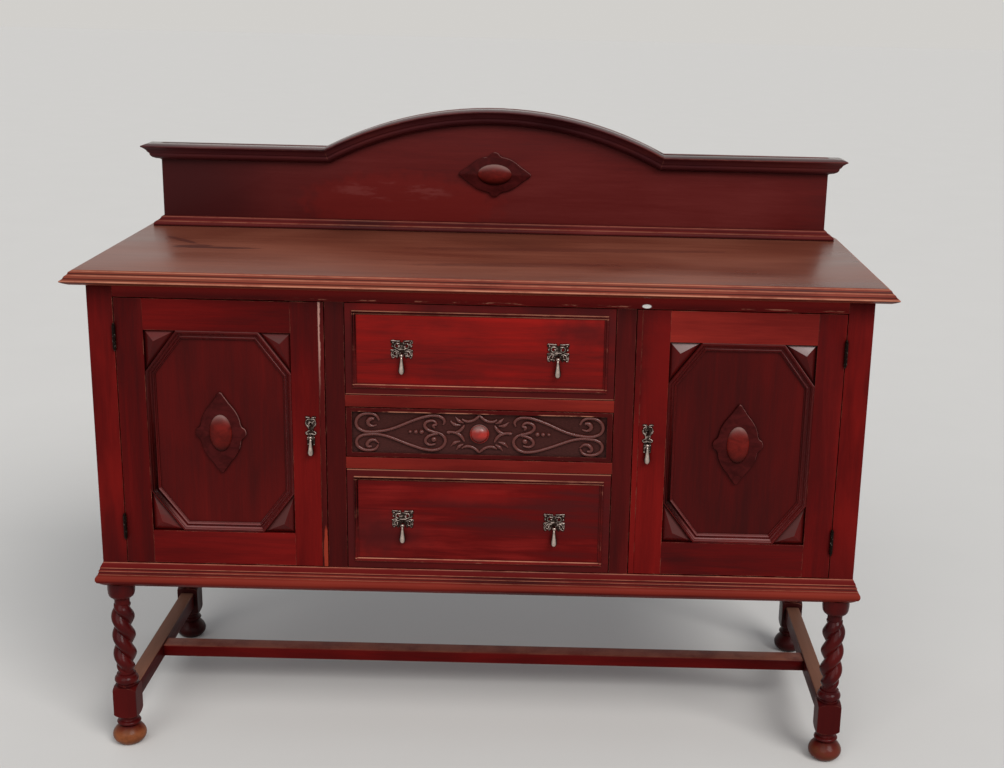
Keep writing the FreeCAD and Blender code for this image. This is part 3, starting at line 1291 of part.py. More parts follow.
def carved_drawer(low, opening):
    """Drawer with scrolls on a sunk ground and a boss in a four-pointed frame."""
    middle, half_z = drawer("carved", low, opening)
    half_x = DRAWER_HALF - S.field_end
    half_z -= S.field_margin
    ground = FRONT + S.field_depth
    width, rise = S.carving_width, S.carving_rise
    pieces = []
    for side in (-1, 1):
        for shares in SCROLL_SHARES:
            curve = Part.BSplineCurve()
            curve.interpolate([Vector(-side * half_x * x, 0, half_z * z) for x, z in shares])
            steps = curve.discretize(Number=round(len(shares) * SPAN_SHARE))
            pieces.append(band([(point.x, point.z) for point in steps], width, rise))
        for shares, radius in ((EYE_SHARES, S.volute_radius), (PELLET_SHARES, S.pellet_radius)):
            for x, z in shares:
                button = dome(radius * 2, radius * 2, rise, sides=DROP_SIDES, shares=BUTTON_SHARES)
                pieces.append(button.translated(Vector(-side * half_x * x, 0, half_z * z)))
    outline = [(half_x * x, half_z * z) for x, z in FRAME_SHARES]
    outline += [(-x, z) for x, z in reversed(outline[1:-1])]
    pieces.append(band(outline, width, rise, closed=True))
    carving = pieces[0].multiFuse(pieces[1:])
    node("carved_drawer_scrolls", feature(carving, 0, ground, middle))
    boss = dome(S.boss_radius * 2, S.boss_radius * 2, S.boss_rise)
    node("carved_drawer_boss", feature(boss, 0, ground, middle))


# The whole sideboard

top_board()
carcase_front()
carcase_box()
base_moulding()
backboard()
legs_and_stretchers()
frame_hinges()
for door_side in (-1, 1):
    door(door_side)
plain_drawer("top", UPPER_RAIL + S.drawer_rail_height, S.top_opening)
carved_drawer(LOWER_RAIL + S.drawer_rail_height, S.carved_opening)
plain_drawer("bottom", FLOOR, LOWER_RAIL - FLOOR)

DOC.recompute()
faults = [item.Label for item in DOC.Objects if {"Invalid", "Error"} & set(item.State)]
faults += [item.Label for item in NODES if item.Shape.isNull() or not item.Shape.isValid()]
if faults:
    raise RuntimeError("not built: " + ", ".join(faults))
os.makedirs("parts", exist_ok=True)
for item in NODES:
    item.Shape.exportStep(f"parts/{item.Label}.step")
print(len(NODES), "sub-parts")
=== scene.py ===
"""Looks of a mahogany sideboard on twist-turned legs, laid out as an add-on.

Lengths are metres. Right is +X, the front faces -Y and up is +Z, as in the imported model.
"""

import json
import math

import bpy
from mathutils import Euler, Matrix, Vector

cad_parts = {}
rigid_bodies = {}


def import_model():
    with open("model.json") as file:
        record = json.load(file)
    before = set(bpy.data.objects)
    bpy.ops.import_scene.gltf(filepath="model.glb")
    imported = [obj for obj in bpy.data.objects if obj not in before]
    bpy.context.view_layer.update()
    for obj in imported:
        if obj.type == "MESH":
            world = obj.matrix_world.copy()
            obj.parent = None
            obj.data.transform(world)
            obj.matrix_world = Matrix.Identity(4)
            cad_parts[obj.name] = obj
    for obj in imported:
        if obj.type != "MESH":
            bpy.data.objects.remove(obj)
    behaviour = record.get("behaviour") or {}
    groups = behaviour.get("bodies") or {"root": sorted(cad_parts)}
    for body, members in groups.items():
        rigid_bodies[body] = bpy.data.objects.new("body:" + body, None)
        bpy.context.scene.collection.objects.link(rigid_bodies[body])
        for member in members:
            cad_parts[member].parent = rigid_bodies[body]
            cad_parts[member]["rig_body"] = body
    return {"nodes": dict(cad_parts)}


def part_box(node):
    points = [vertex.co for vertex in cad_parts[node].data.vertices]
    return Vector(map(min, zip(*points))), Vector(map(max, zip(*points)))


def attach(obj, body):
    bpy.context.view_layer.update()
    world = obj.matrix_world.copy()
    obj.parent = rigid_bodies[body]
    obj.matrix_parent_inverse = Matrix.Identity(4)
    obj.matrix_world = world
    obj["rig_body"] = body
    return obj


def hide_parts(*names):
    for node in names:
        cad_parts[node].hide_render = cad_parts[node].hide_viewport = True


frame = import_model()

bl_info = {
    "name": "Mahogany Sideboard",
    "version": (1, 0, 0),
    "blender": (4, 5, 0),
    "location": "View3D > Sidebar > Sideboard",
    "description": "Turned legs, carving, brasses and wood finishes of a panelled sideboard",
    "category": "Object",
}

NODES = frame["nodes"]
LEGS = ("front_left_leg", "front_right_leg", "rear_left_leg", "rear_right_leg")
DROPS = (
    "left_door_drop", "right_door_drop", "top_drawer_left_drop", "top_drawer_right_drop",
    "bottom_drawer_left_drop", "bottom_drawer_right_drop",
)
FRONT = -0.26  # y of the marks on the front
BLOCK_FOOT, BLOCK_HEAD = 0.060, 0.126  # heights of the square block of a leg
PLATE_ASIDE = 0.145  # from a drawer's middle to the middle of each of its plates
PIN_BELOW_TOP = 0.0024  # from the top of a drop to the pin that carries it
FORWARD = (math.pi / 2, 0, 0)  # turn that brings the upper end to the front
SIDEWAYS = (0, math.pi / 2, 0)  # turn that brings the upper end to the right
MIX_FIRST, MIX_SECOND, MIX_RESULT = 6, 7, 2  # colour sockets of the Mix node


def length(label, note, value):
    return bpy.props.FloatProperty(name=label, description=note, default=value, unit="LENGTH")


def colour(label, note, value):
    return bpy.props.FloatVectorProperty(
        name=label, description=note, default=value, subtype="COLOR", size=3, min=0, max=1)


def share(label, note, value):
    return bpy.props.FloatProperty(
        name=label, description=note, default=value, subtype="FACTOR", min=0, max=1)


class SideboardSizes(bpy.types.PropertyGroup):
    """Sizes of the finer forms"""

    edge_rounding: length(
        "Edge rounding", "Width of the worn rounding along the edges of the wood", 0.0008)
    moulding_rounding: length(
        "Moulding rounding", "Width of the rounding along a moulding's members", 0.0005)
    rope_radius: length("Rope radius", "Radius of each of the two ropes of a leg's twist", 0.0156)
    rope_offset: length("Rope offset", "Axis of a rope from the axis of its leg", 0.0069)
    rope_pitch: length("Rope pitch", "Height in which a rope goes once round", 0.079)
    ridge_radius: length("Ridge radius", "Half the width of a carved scroll", 0.0030)
    plate_thickness: length("Plate thickness", "Brass plates", 0.0016)


class SideboardColours(bpy.types.PropertyGroup):
    """Colours of the finishes"""

    red_dark: colour("Red, dark", "Darkest streaks of the red stain", (0.038, 0.0030, 0.0030))
    red_middle: colour("Red, middle", "Body of the red stain", (0.086, 0.0030, 0.0028))
    red_light: colour("Red, light", "Where the red stain is thin", (0.150, 0.0050, 0.0040))
    divider_dark: colour(
        "Divider, dark", "Streaks of the uprights beside the drawers", (0.026, 0.0030, 0.0030))
    divider_middle: colour("Divider, middle", "Uprights beside the drawers", (0.052, 0.0035, 0.0032))
    divider_light: colour("Divider, light", "Lighter streaks of those uprights", (0.085, 0.0050, 0.0045))
    rail_dark: colour("Rail, dark", "Dark streaks of the doors' top rails", (0.075, 0.0050, 0.0040))
    rail_middle: colour("Rail, middle", "Top rails of the doors", (0.135, 0.0100, 0.0070))
    rail_light: colour("Rail, light", "Orange red of the doors' top rails", (0.205, 0.017, 0.0095))
    drawer_dark: colour("Drawer, dark", "Dark figure of the drawer fronts", (0.085, 0.0055, 0.0050))
    drawer_middle: colour("Drawer, middle", "Drawer fronts", (0.195, 0.0065, 0.0050))
    drawer_light: colour("Drawer, light", "Brightest red of the drawer fronts", (0.31, 0.0095, 0.0065))
    figure_dark: colour("Figure, dark", "Dark figure of the bottom drawer", (0.055, 0.0055, 0.0055))
    figure_light: colour("Figure, light", "Lightest red of the bottom drawer", (0.165, 0.0080, 0.0065))
    panel_dark: colour("Panel, dark", "Dark streaks of the door panels", (0.034, 0.0038, 0.0036))
    panel_middle: colour("Panel, middle", "Door panels", (0.066, 0.0040, 0.0036))
    panel_light: colour("Panel, light", "Lighter streaks of the door panels", (0.105, 0.0055, 0.0045))
    backboard_dark: colour("Backboard, dark", "Dark ends of the backboard", (0.040, 0.0070, 0.0070))
    backboard_middle: colour("Backboard, middle", "Backboard", (0.082, 0.0085, 0.0075))
    backboard_light: colour("Backboard, light", "Faded haze of the backboard", (0.115, 0.0170, 0.0150))
    top_dark: colour("Top, dark", "Dark streaks of the top", (0.080, 0.020, 0.012))
    top_middle: colour("Top, middle", "Faded brown of the top", (0.145, 0.038, 0.020))
    top_light: colour("Top, light", "Lightest part of the top", (0.210, 0.062, 0.034))
    moulding_dark: colour("Moulding, dark", "Dark mouldings", (0.022, 0.0040, 0.0050))
    moulding_middle: colour("Moulding, middle", "Dark mouldings", (0.058, 0.0115, 0.0135))
    moulding_light: colour("Moulding, light", "Worn members of dark mouldings", (0.095, 0.015, 0.013))
    base_middle: colour("Base, middle", "Base moulding", (0.105, 0.0085, 0.0065))
    bead: colour("Bead", "Raised bead of the drawer fronts", (0.070, 0.0060, 0.0055))
    stretcher_top: colour(
        "Stretcher, top", "Faded upper faces of the side stretchers", (0.150, 0.066, 0.042))
    stain: colour("Stain", "Old dark marks on the top", (0.062, 0.0140, 0.0095))
    lip: colour("Lip", "Edge moulding of the top", (0.180, 0.0340, 0.0210))
    # Painted highlight on the upward faces of the panel mouldings
    haze: colour(
        "Haze", "Upper faces of the panel mouldings, where light hazes them", (0.150, 0.048, 0.044))
    # Painted highlight, faint: upper faces of the corner blocks
    faint_facet_highlight: colour(
        "Dim facet", "Upper faces of the corner blocks in the shade", (0.072, 0.0220, 0.0200))
    # Painted highlight on the upper right edges of the lozenges
    rim: colour("Rim", "Rubbed upper rim of the lozenges", (0.20, 0.085, 0.075))
    # Painted highlight on the upper faces of the jewels and the boss
    jewel_highlight: colour("Jewel haze", "Hazed tops of the jewels", (0.180, 0.098, 0.086))
    # Painted shade: dark lines in the grooves of a moulding
    groove_shade: colour("Quirk", "Dirt in the grooves of a moulding", (0.020, 0.0035, 0.0035))
    # Worn lines along a moulding's edges, which also carry a painted highlight
    wear_and_highlight_line: colour("Rubbed line", "Thin worn lines along a moulding", (0.42, 0.165, 0.100))
    # Painted highlight: reflection of the sky on the upper faces of the corner blocks
    facet_highlight: colour("Facet", "Hazed upper faces of the corner blocks", (0.138, 0.074, 0.068))
    base_light: colour("Base, light", "Rubbed members of the base moulding", (0.180, 0.0230, 0.0130))
    worn_wood: colour("Worn wood", "Wood where the stain is rubbed off an edge", (0.33, 0.12, 0.075))
    foot_wood: colour("Foot wood", "Scuffed bun feet", (0.200, 0.060, 0.022))
    foot_red: colour("Foot, red", "Bun foot that has kept its red", (0.100, 0.0180, 0.0110))
    plain_wood: colour("Plain wood", "Unstained wood inside and behind", (0.28, 0.16, 0.085))
    carved_ground: colour("Carved ground", "Sunk ground behind the scrolls", (0.042, 0.0108, 0.0088))
    carved_ridge: colour("Carved ridge", "Rubbed tops of the scrolls", (0.092, 0.0220, 0.0170))
    cartouche: colour("Cartouche", "Dark lozenges", (0.042, 0.0046, 0.0044))
    jewel: colour("Jewel", "Oval jewels of the lozenges", (0.100, 0.0064, 0.0042))
    boss: colour("Boss", "Polished red boss", (0.30, 0.016, 0.010))
    brass_dark: colour("Brass, dark", "Tarnish in the hollows of the brass", (0.030, 0.0185, 0.0150))
    brass_bright: colour("Brass, bright", "Rubbed brass", (0.48, 0.385, 0.335))
    floor: colour("Floor", "Plain pale floor", (0.620, 0.600, 0.570))
    horizon: colour("Horizon", "What the camera sees past the floor", (0.640, 0.625, 0.600))
    sky: colour("Sky", "Soft light from all round", (0.90, 0.94, 1.0))
    gloss: share("Gloss", "Strength of the reflections of the stained wood", 0.05)


def sizes():
    return bpy.context.scene.sideboard_sizes


def tint(name):
    return tuple(getattr(bpy.context.scene.sideboard_colours, name))


def tints(name):
    """Dark, middle and light tint of one wood."""
    return tuple(tint(f"{name}_{part}") for part in ("dark", "middle", "light"))


def dimmed(tone, level):
    """Tint at a share of its strength, or brightened where the share is over 1."""
    return tuple(min(part * level, 1) for part in tone)


def shaded(tones, level):
    return tuple(dimmed(tone, level) for tone in tones)


def graded(tone, dark):
    """Dark, middle and light tint from the middle one."""
    return dimmed(tone, dark), tone, dimmed(tone, 1.3)


# Finishes


class Finish:
    """Node tree of one material, with short calls that add and join its nodes."""

    def __init__(self, name):
        self.material = bpy.data.materials.new(name)
        self.material.use_nodes = True
        self.tree = self.material.node_tree
        self.surface = self.tree.nodes["Principled BSDF"]

    def add(self, kind, settings=None, **inputs):
        """Adds a node; an input goes by its name, or by its number after a _."""
        made = self.tree.nodes.new("ShaderNode" + kind)
        for key, value in (settings or {}).items():
            setattr(made, key, value)
        for key, value in inputs.items():
            self.put(made.inputs[int(key[1:]) if key[1:].isdigit() else key], value)
        return made

    def put(self, socket, value):
        if isinstance(value, bpy.types.NodeSocket):
            self.tree.links.new(value, socket)
        else:
            socket.default_value = value

    def place(self, scale=(1, 1, 1), shift=(0, 0, 0)):
        coordinates = self.add("TexCoord").outputs["Object"]
        mapping = self.add("Mapping", Vector=coordinates, Scale=scale, Location=shift)
        return mapping.outputs["Vector"]

    def at(self, axis):
        """Place along one axis of the sideboard."""
        return self.add("SeparateXYZ", Vector=self.place()).outputs[axis]

    def facing(self, axis):
        """Share of the surface's direction along one axis."""
        normal = self.add("NewGeometry").outputs["Normal"]
        return self.add("SeparateXYZ", Vector=normal).outputs[axis]

    def noise(self, where, scale, detail=3.0, roughness=0.5, distortion=0.0):
        made = self.add(
            "TexNoise", Vector=where, Scale=scale, Detail=detail, Roughness=roughness,
            Distortion=distortion)
        return made.outputs["Fac"]

    def math(self, operation, first, second=0.0):
        return self.add("Math", {"operation": operation}, _0=first, _1=second).outputs["Value"]

    def times(self, first, second):
        return self.math("MULTIPLY", first, second)

    def plus(self, first, second):
        return self.math("ADD", first, second)

    def away(self, value, centre=0.0):
        """How far a value is from a centre, on either side."""
        return self.math("ABSOLUTE", self.math("SUBTRACT", value, centre))

    def about_zero(self, noise, width):
        """A noise laid about zero, as wide as this."""
        return self.times(self.math("SUBTRACT", noise, 0.5), width)

    def between(self, value, low, high, start=0.0, end=1.0):
        """Start where the value is low, end where it is high, and smooth between."""
        made = self.add("MapRange", {"interpolation_type": "SMOOTHSTEP"}, Value=value)
        for key, number in (("From Min", low), ("From Max", high), ("To Min", start), ("To Max", end)):
            made.inputs[key].default_value = number
        return made.outputs["Result"]

    def ramp(self, value, stops):
        made = self.add("ValToRGB", Fac=value)
        elements = made.color_ramp.elements
        while len(elements) < len(stops):
            elements.new(0.5)
        for element, (place, tone) in zip(elements, stops):
            element.position = place
            element.color = (*tone, 1)
        return made.outputs["Color"]

    def mix(self, amount, first, second):
        made = self.add("Mix", {"data_type": "RGBA"}, _0=amount)
        for number, value in ((MIX_FIRST, first), (MIX_SECOND, second)):
            plain = not isinstance(value, bpy.types.NodeSocket)
            self.put(made.inputs[number], (*value, 1) if plain else value)
        return made.outputs[MIX_RESULT]

    def cover(self, shade, amount, strength, tone):
        """Shade under a tone, which covers it by an amount times its strength."""
        return self.mix(self.times(amount, strength), shade, tone)

    def mark(self, centre, half, turn=0.0, ragged=0.0, soft=0.35):
        """1 inside an ellipsoid with a ragged edge and 0 outside it."""
        where = self.add("Mapping", {"vector_type": "TEXTURE"}, Vector=self.place(), Location=centre,
                         Rotation=(0, 0, turn), Scale=half)
        reach = self.add("VectorMath", {"operation": "LENGTH"}, _0=where.outputs["Vector"])
        fray = self.about_zero(self.noise(self.place(), 45, 4), ragged)
        return self.between(self.plus(reach.outputs["Value"], fray), 1.1, 1.1 - soft)

    def line(self, height, level, half):
        """1 within half a width of a level."""
        return self.between(self.away(height, level), half, half * 0.35)

    def edges(self, radius):
        """1 along the edges of the shape and 0 on its flats."""
        rounded = self.add("Bevel", {"samples": 4}, Radius=radius).outputs["Normal"]
        normal = self.add("NewGeometry").outputs["Normal"]
        same = self.add("VectorMath", {"operation": "DOT_PRODUCT"}, _0=rounded, _1=normal)
        return self.between(same.outputs["Value"], 0.995, 0.90)

    def hollows(self, distance):
        """1 deep in a corner or a hollow and 0 in the open."""
        made = self.add("AmbientOcclusion", {"samples": 6}, Distance=distance)
        return self.between(made.outputs["AO"], 0.85, 0.35)

    def close(self, tone, roughness, bump=None, depth=0.0003, gloss=0.5, metallic=0.0):
        surface = self.surface
        self.put(surface.inputs["Base Color"], tone)
        self.put(surface.inputs["Roughness"], roughness)
        surface.inputs["Specular IOR Level"].default_value = gloss
        surface.inputs["Metallic"].default_value = metallic
        if bump is not None:
            made = self.add("Bump", Height=bump, Strength=0.6, Distance=depth)
            self.put(surface.inputs["Normal"], made.outputs["Normal"])


def grain_scale(along, ratio):
    return tuple(1 if axis == along else ratio for axis in "xyz")


def wood(name, along, tones, seed, patch=2.4, figure=0.35, wear=0.5, hollow_shade=0.7, rough=(0.30, 0.48),
         gloss=None, extra=None):
    """Stained wood whose grain runs along one axis, with painted shade in its hollows and corners, and
    rubbed along edges.

    The seed shifts the grain, patch sets how close its clouds lie and figure how strong its streaks are.
    """
    finish = Finish(name)
    shift = (seed * 1.7, seed * 2.3, seed * 3.1)
    patches = finish.noise(finish.place(grain_scale(along, 2.2), shift), patch, 2.5, 0.5, 0.4)
    streaks = finish.noise(finish.place(grain_scale(along, 16), shift), 3.2, 6, 0.62, 0.5)
    fine = finish.noise(finish.place(grain_scale(along, 26), shift), 26, 3, 0.7)
    broad = finish.plus(finish.about_zero(patches, 1.5), finish.about_zero(streaks, figure * 2.2))
    tone = finish.plus(broad, finish.plus(finish.about_zero(fine, 0.35), 0.5))
    dark, middle, light = tones
    shade = finish.ramp(tone, [(0.12, dark), (0.5, middle), (0.88, light)])
    # Painted shade: darker where nearby parts shut the surface in
    shade = finish.cover(shade, finish.hollows(0.012), hollow_shade, dimmed(dark, 0.35))
    if wear:
        rub = finish.noise(finish.place(shift=shift), 38, 4, 0.65)
        edge = finish.times(finish.edges(0.0015), finish.between(rub, 0.58 - wear * 0.35, 0.72))
        shade = finish.cover(shade, edge, 0.8, tint("worn_wood"))
    if extra:
        shade = extra(finish, shade)
    if gloss is None:
        gloss = bpy.context.scene.sideboard_colours.gloss
    relief = finish.plus(finish.times(fine, 0.5), streaks)
    finish.close(shade, finish.between(patches, 0.3, 0.7, *rough), relief, 0.00025, gloss)


def chipped(finish, shade):
    """Chips along the upper edge of a door's closing strip and a bare patch at its foot."""
    fresh_wood, bare_wood = (0.40, 0.21, 0.17), (0.24, 0.028, 0.014)
    chips = finish.noise(finish.place((1, 1, 0.5)), 60, 5, 0.7)
    ragged = finish.plus(finish.away(finish.at("X")), finish.times(chips, 0.008))
    upper = finish.between(finish.at("Z"), 0.72, 0.86, 0, 0.9)
    shade = finish.mix(finish.times(upper, finish.between(ragged, 0.2995, 0.3012)), shade, fresh_wood)
    foot = finish.mark((-0.2922, FRONT, 0.428), (0.0046, 1, 0.056), 0.0, 0.9)
    return finish.mix(foot, shade, bare_wood)


def brighter_below(finish, shade):
    """Corner uprights, brown under the top, bright red from there down and dark at the foot."""
    cloud = finish.noise(finish.place((4, 4, 1)), 4, 3)
    reach = finish.plus(finish.at("Z"), finish.times(cloud, 0.16))
    tone = finish.mix(finish.between(cloud, 0.35, 0.65), dimmed(tint("drawer_middle"), 0.75), shade)
    shade = finish.mix(finish.between(reach, 0.99, 0.80), shade, tone)
    return finish.mix(finish.between(reach, 0.60, 0.42, 0, 0.6), shade, tint("red_dark"))


def uneven(finish, shade):
    """Right door's uprights: closing stile redder at its upper half, hinge stile darker."""
    closing = finish.mark((0.335, FRONT, 0.80), (0.060, 1, 0.20), 0.0, 0.6, 1.0)
    hinge = finish.mark((0.645, FRONT, 0.70), (0.060, 1, 0.30), 0.0, 0.6, 1.0)
    shade = finish.cover(shade, closing, 0.6, tint("red_light"))
    return finish.cover(shade, hinge, 0.5, tint("red_dark"))


def smeared(finish, shade):
    """Old dark marks on the top: a branching stain near its left end and long sweeps on its right."""
    top_face = 0.972
    for x, y, half_x, half_y, turn, strength in (
            (-0.538, -0.019, 0.092, 0.0110, 0.0, 0.9), (-0.626, 0.059, 0.064, 0.0095, -0.80, 0.85),
            (-0.592, -0.008, 0.040, 0.020, 0.25, 0.8), (0.16, 0.045, 0.34, 0.022, 0.06, 0.45),
            (0.06, -0.13, 0.20, 0.020, 0.10, 0.45)):
        stain = finish.mark((x, y, top_face), (half_x, half_y, 1), turn, 0.9)
        shade = finish.cover(shade, stain, strength, tint("stain"))
    return shade


def paint_fleck(finish, shade):
    """Fine chips along the foot of the rail, a pale fleck of paint over the right door, and painted
    light that lifts the shade under the top's lip.
    """
    painted_light_red, paint = (0.24, 0.012, 0.010), (0.85, 0.84, 0.80)
    height = finish.at("Z")
    # Painted light lifting the shade under the top's lip, strongest at the rail's head
    shade = finish.mix(finish.between(height, 0.922, 0.942, 0, 0.85), shade, painted_light_red)
    chips = finish.noise(finish.place((0.5, 1, 3)), 34, 6, 0.75)
    foot = finish.times(finish.line(height, 0.9242, 0.0019), finish.between(chips, 0.54, 0.61))
    shade = finish.cover(shade, foot, 0.8, tint("worn_wood"))
    return finish.mix(finish.mark((0.3060, FRONT, 0.9252), (0.0088, 1, 0.0040)), shade, paint)


def banded(*bands):
    """Finish for a moulding, with bands (tint, height, half its width, strength) along it."""
    def draw(finish, shade):
        height = finish.at("Z")
        rub = finish.noise(finish.place((0.4, 0.4, 1)), 40, 5, 0.7)
        rub = finish.between(rub, 0.30, 0.60, 0.35, 1)
        # Dark groove bands are painted shade; light lines are worn and carry a painted highlight, ragged
        # by the rub noise
        for name, level, half, strength in bands:
            amount = finish.line(height, level, half)
            if name == "wear_and_highlight_line":
                amount = finish.times(amount, rub)
            shade = finish.cover(shade, amount, strength, tint(name))
        return shade
    return draw


def beaded(node):
    """Finish for a drawer's bead, with a worn line carrying a painted highlight along each edge of its
    upper and lower lengths.
    """
    low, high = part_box(node)
    return banded(
        ("wear_and_highlight_line", high.z - 0.0008, 0.0010, 0.7), ("wear_and_highlight_line", high.z - 0.0066, 0.0010, 0.7),
        ("wear_and_highlight_line", low.z + 0.0066, 0.0011, 1.0), ("wear_and_highlight_line", low.z + 0.0008, 0.0009, 0.3))


def bordered(node, rubbed, marks):
    """Finish for a drawer front, darker outside its bead, with a worn line and painted highlight at its
    upper (1) or lower (-1) edge.

    The marks are (tint, x, z from the middle, half width, half height, strength).
    """
    low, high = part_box(node)
    middle, half = (low.z + high.z) / 2, (high.z - low.z) / 2

    def draw(finish, shade):
        for name, x, z, half_x, half_z, strength in marks:
            patch = finish.mark((x, low.y, middle + z), (half_x, 1, half_z), 0.0, 0.7, 1.0)
            shade = finish.cover(shade, patch, strength, tint(name))
        height = finish.at("Z")
        aside = finish.between(finish.away(finish.at("X")), high.x - 0.024, high.x - 0.016)
        above = finish.between(finish.away(height, middle), half - 0.024, half - 0.016)
        cloud = finish.between(finish.noise(finish.place(), 7, 3), 0.3, 0.7, 0.55, 1.0)
        border = finish.times(finish.math("MAXIMUM", aside, above), cloud)
        shade = finish.mix(border, shade, tint("figure_dark"))
        # Worn line with a painted highlight along one edge
        edge = finish.line(height, middle + rubbed * (half - 0.0005), 0.0010)
        return finish.cover(shade, edge, 0.6, tint("wear_and_highlight_line"))
    return draw


def chipped_field(finish, shade):
    """Carved drawer, chipped along the upper edge of its sunk field."""
    chips = finish.noise(finish.place((0.4, 1, 3)), 34, 6, 0.7)
    edge = finish.times(finish.line(finish.at("Z"), 0.7112, 0.0016), finish.between(chips, 0.46, 0.54))
    return finish.cover(shade, edge, 0.8, tint("wear_and_highlight_line"))


def darkened_end(finish, shade):
    """Left end of the backboard, darker than the rest, and a rubbed bloom left of its middle."""
    glow_tone, bloom_tone = (0.125, 0.0095, 0.0075), (0.19, 0.050, 0.045)
    reach = finish.plus(finish.at("X"), finish.times(finish.noise(finish.place(), 5, 2), 0.3))
    shade = finish.mix(finish.between(reach, -0.05, -0.58), shade, tint("backboard_dark"))
    glow = finish.mark((-0.20, 0.25, 1.03), (0.22, 1, 0.07), 0.0, 0.6)
    shade = finish.cover(shade, glow, 0.55, glow_tone)
    bloom = finish.between(finish.noise(finish.place((1, 1, 5)), 14, 5, 0.7), 0.45, 0.62)
    streak = finish.times(finish.mark((-0.22, 0.25, 1.055), (0.13, 1, 0.022), 0.0, 0.8), bloom)
    return finish.cover(shade, streak, 0.28, bloom_tone)


def scuffed(finish, shade):
    """Bun foot: stain worn down to orange-brown wood, with dark knocks."""
    patches = finish.noise(finish.place((1, 1, 1.6)), 34, 5, 0.6)
    side = finish.mix(finish.between(finish.at("X"), -0.1, 0.1), tint("foot_wood"), tint("foot_red"))
    knocks = finish.between(patches, 0.36, 0.62, 0.6, 0)
    bare = finish.mix(knocks, side, dimmed(tint("foot_wood"), 0.4))
    ragged = finish.plus(finish.at("Z"), finish.times(patches, 0.020))
    return finish.mix(finish.between(ragged, 0.052, 0.034), shade, bare)


def brass(name, rubbing, level=1.0, rough=(0.24, 0.40), sides=0.0):
    """Tarnished brass, rubbed bright where it stands proud, and darker as painted shade where it turns
    aside.
    """
    finish = Finish(name)
    blotches = finish.noise(finish.place(), 180, 4, 0.6)
    proud = finish.between(finish.hollows(0.004), 0.75, 0.1)
    amount = finish.times(proud, finish.between(blotches, 0.62 - rubbing * 0.4, 0.72))
    tone = finish.mix(amount, dimmed(tint("brass_dark"), level), dimmed(tint("brass_bright"), level))
    # Painted shade: faces turned sideways go dark
    if sides:
        aside = finish.between(finish.away(finish.facing("X")), 0.25, 0.85, 0, sides)
        tone = finish.mix(aside, tone, tint("brass_dark"))
    finish.close(tone, finish.between(blotches, 0.3, 0.7, *rough), blotches, 0.0002, 0.5, 1.0)


def carved_ground():
    finish = Finish("carved_ground")
    base = tint("carved_ground")
    tools = finish.noise(finish.place((1, 1, 2.2)), 210, 3, 0.6)
    tone = finish.mix(tools, dimmed(base, 0.55), dimmed(base, 1.35))
    # Painted shade deep in the carving
    tone = finish.cover(tone, finish.hollows(0.007), 0.75, dimmed(base, 0.25))
    finish.close(tone, 0.5, tools, 0.0010, 0.08)


def carved_ridge():
    finish = Finish("carved_ridge")
    base = tint("carved_ridge")
    rub = finish.noise(finish.place(), 120, 4, 0.6)
    tone = finish.mix(rub, dimmed(base, 0.6), dimmed(base, 1.3))
    # Painted shade where the scrolls meet the ground
    tone = finish.cover(tone, finish.hollows(0.005), 0.8, tint("carved_ground"))
    finish.close(tone, 0.24, rub, 0.0003, 0.32)


def polished(name, base, rough, gloss, highlight_and_shade=False):
    """Turned wood under thick polish, with painted shade where it meets its ground, and, when asked, a
    painted highlight where it faces up and painted shade where it faces down.
    """
    finish = Finish(name)
    cloud = finish.noise(finish.place((1, 1, 1.6)), 45, 4, 0.6, 0.6)
    tone = finish.mix(finish.between(cloud, 0.3, 0.7), dimmed(base, 0.7), dimmed(base, 1.25))
    # Painted shade where the piece meets its ground
    tone = finish.cover(tone, finish.hollows(0.008), 0.8, dimmed(base, 0.25))
    if highlight_and_shade:
        # Painted shade on faces turned down, painted highlight on faces turned up
        up = finish.facing("Z")
        tone = finish.mix(finish.between(up, 0.10, -0.60), tone, dimmed(base, 0.25))
        tone = finish.mix(finish.between(up, 0.12, 0.80), tone, tint("jewel_highlight"))
    finish.close(tone, rough, cloud, 0.0002, gloss)


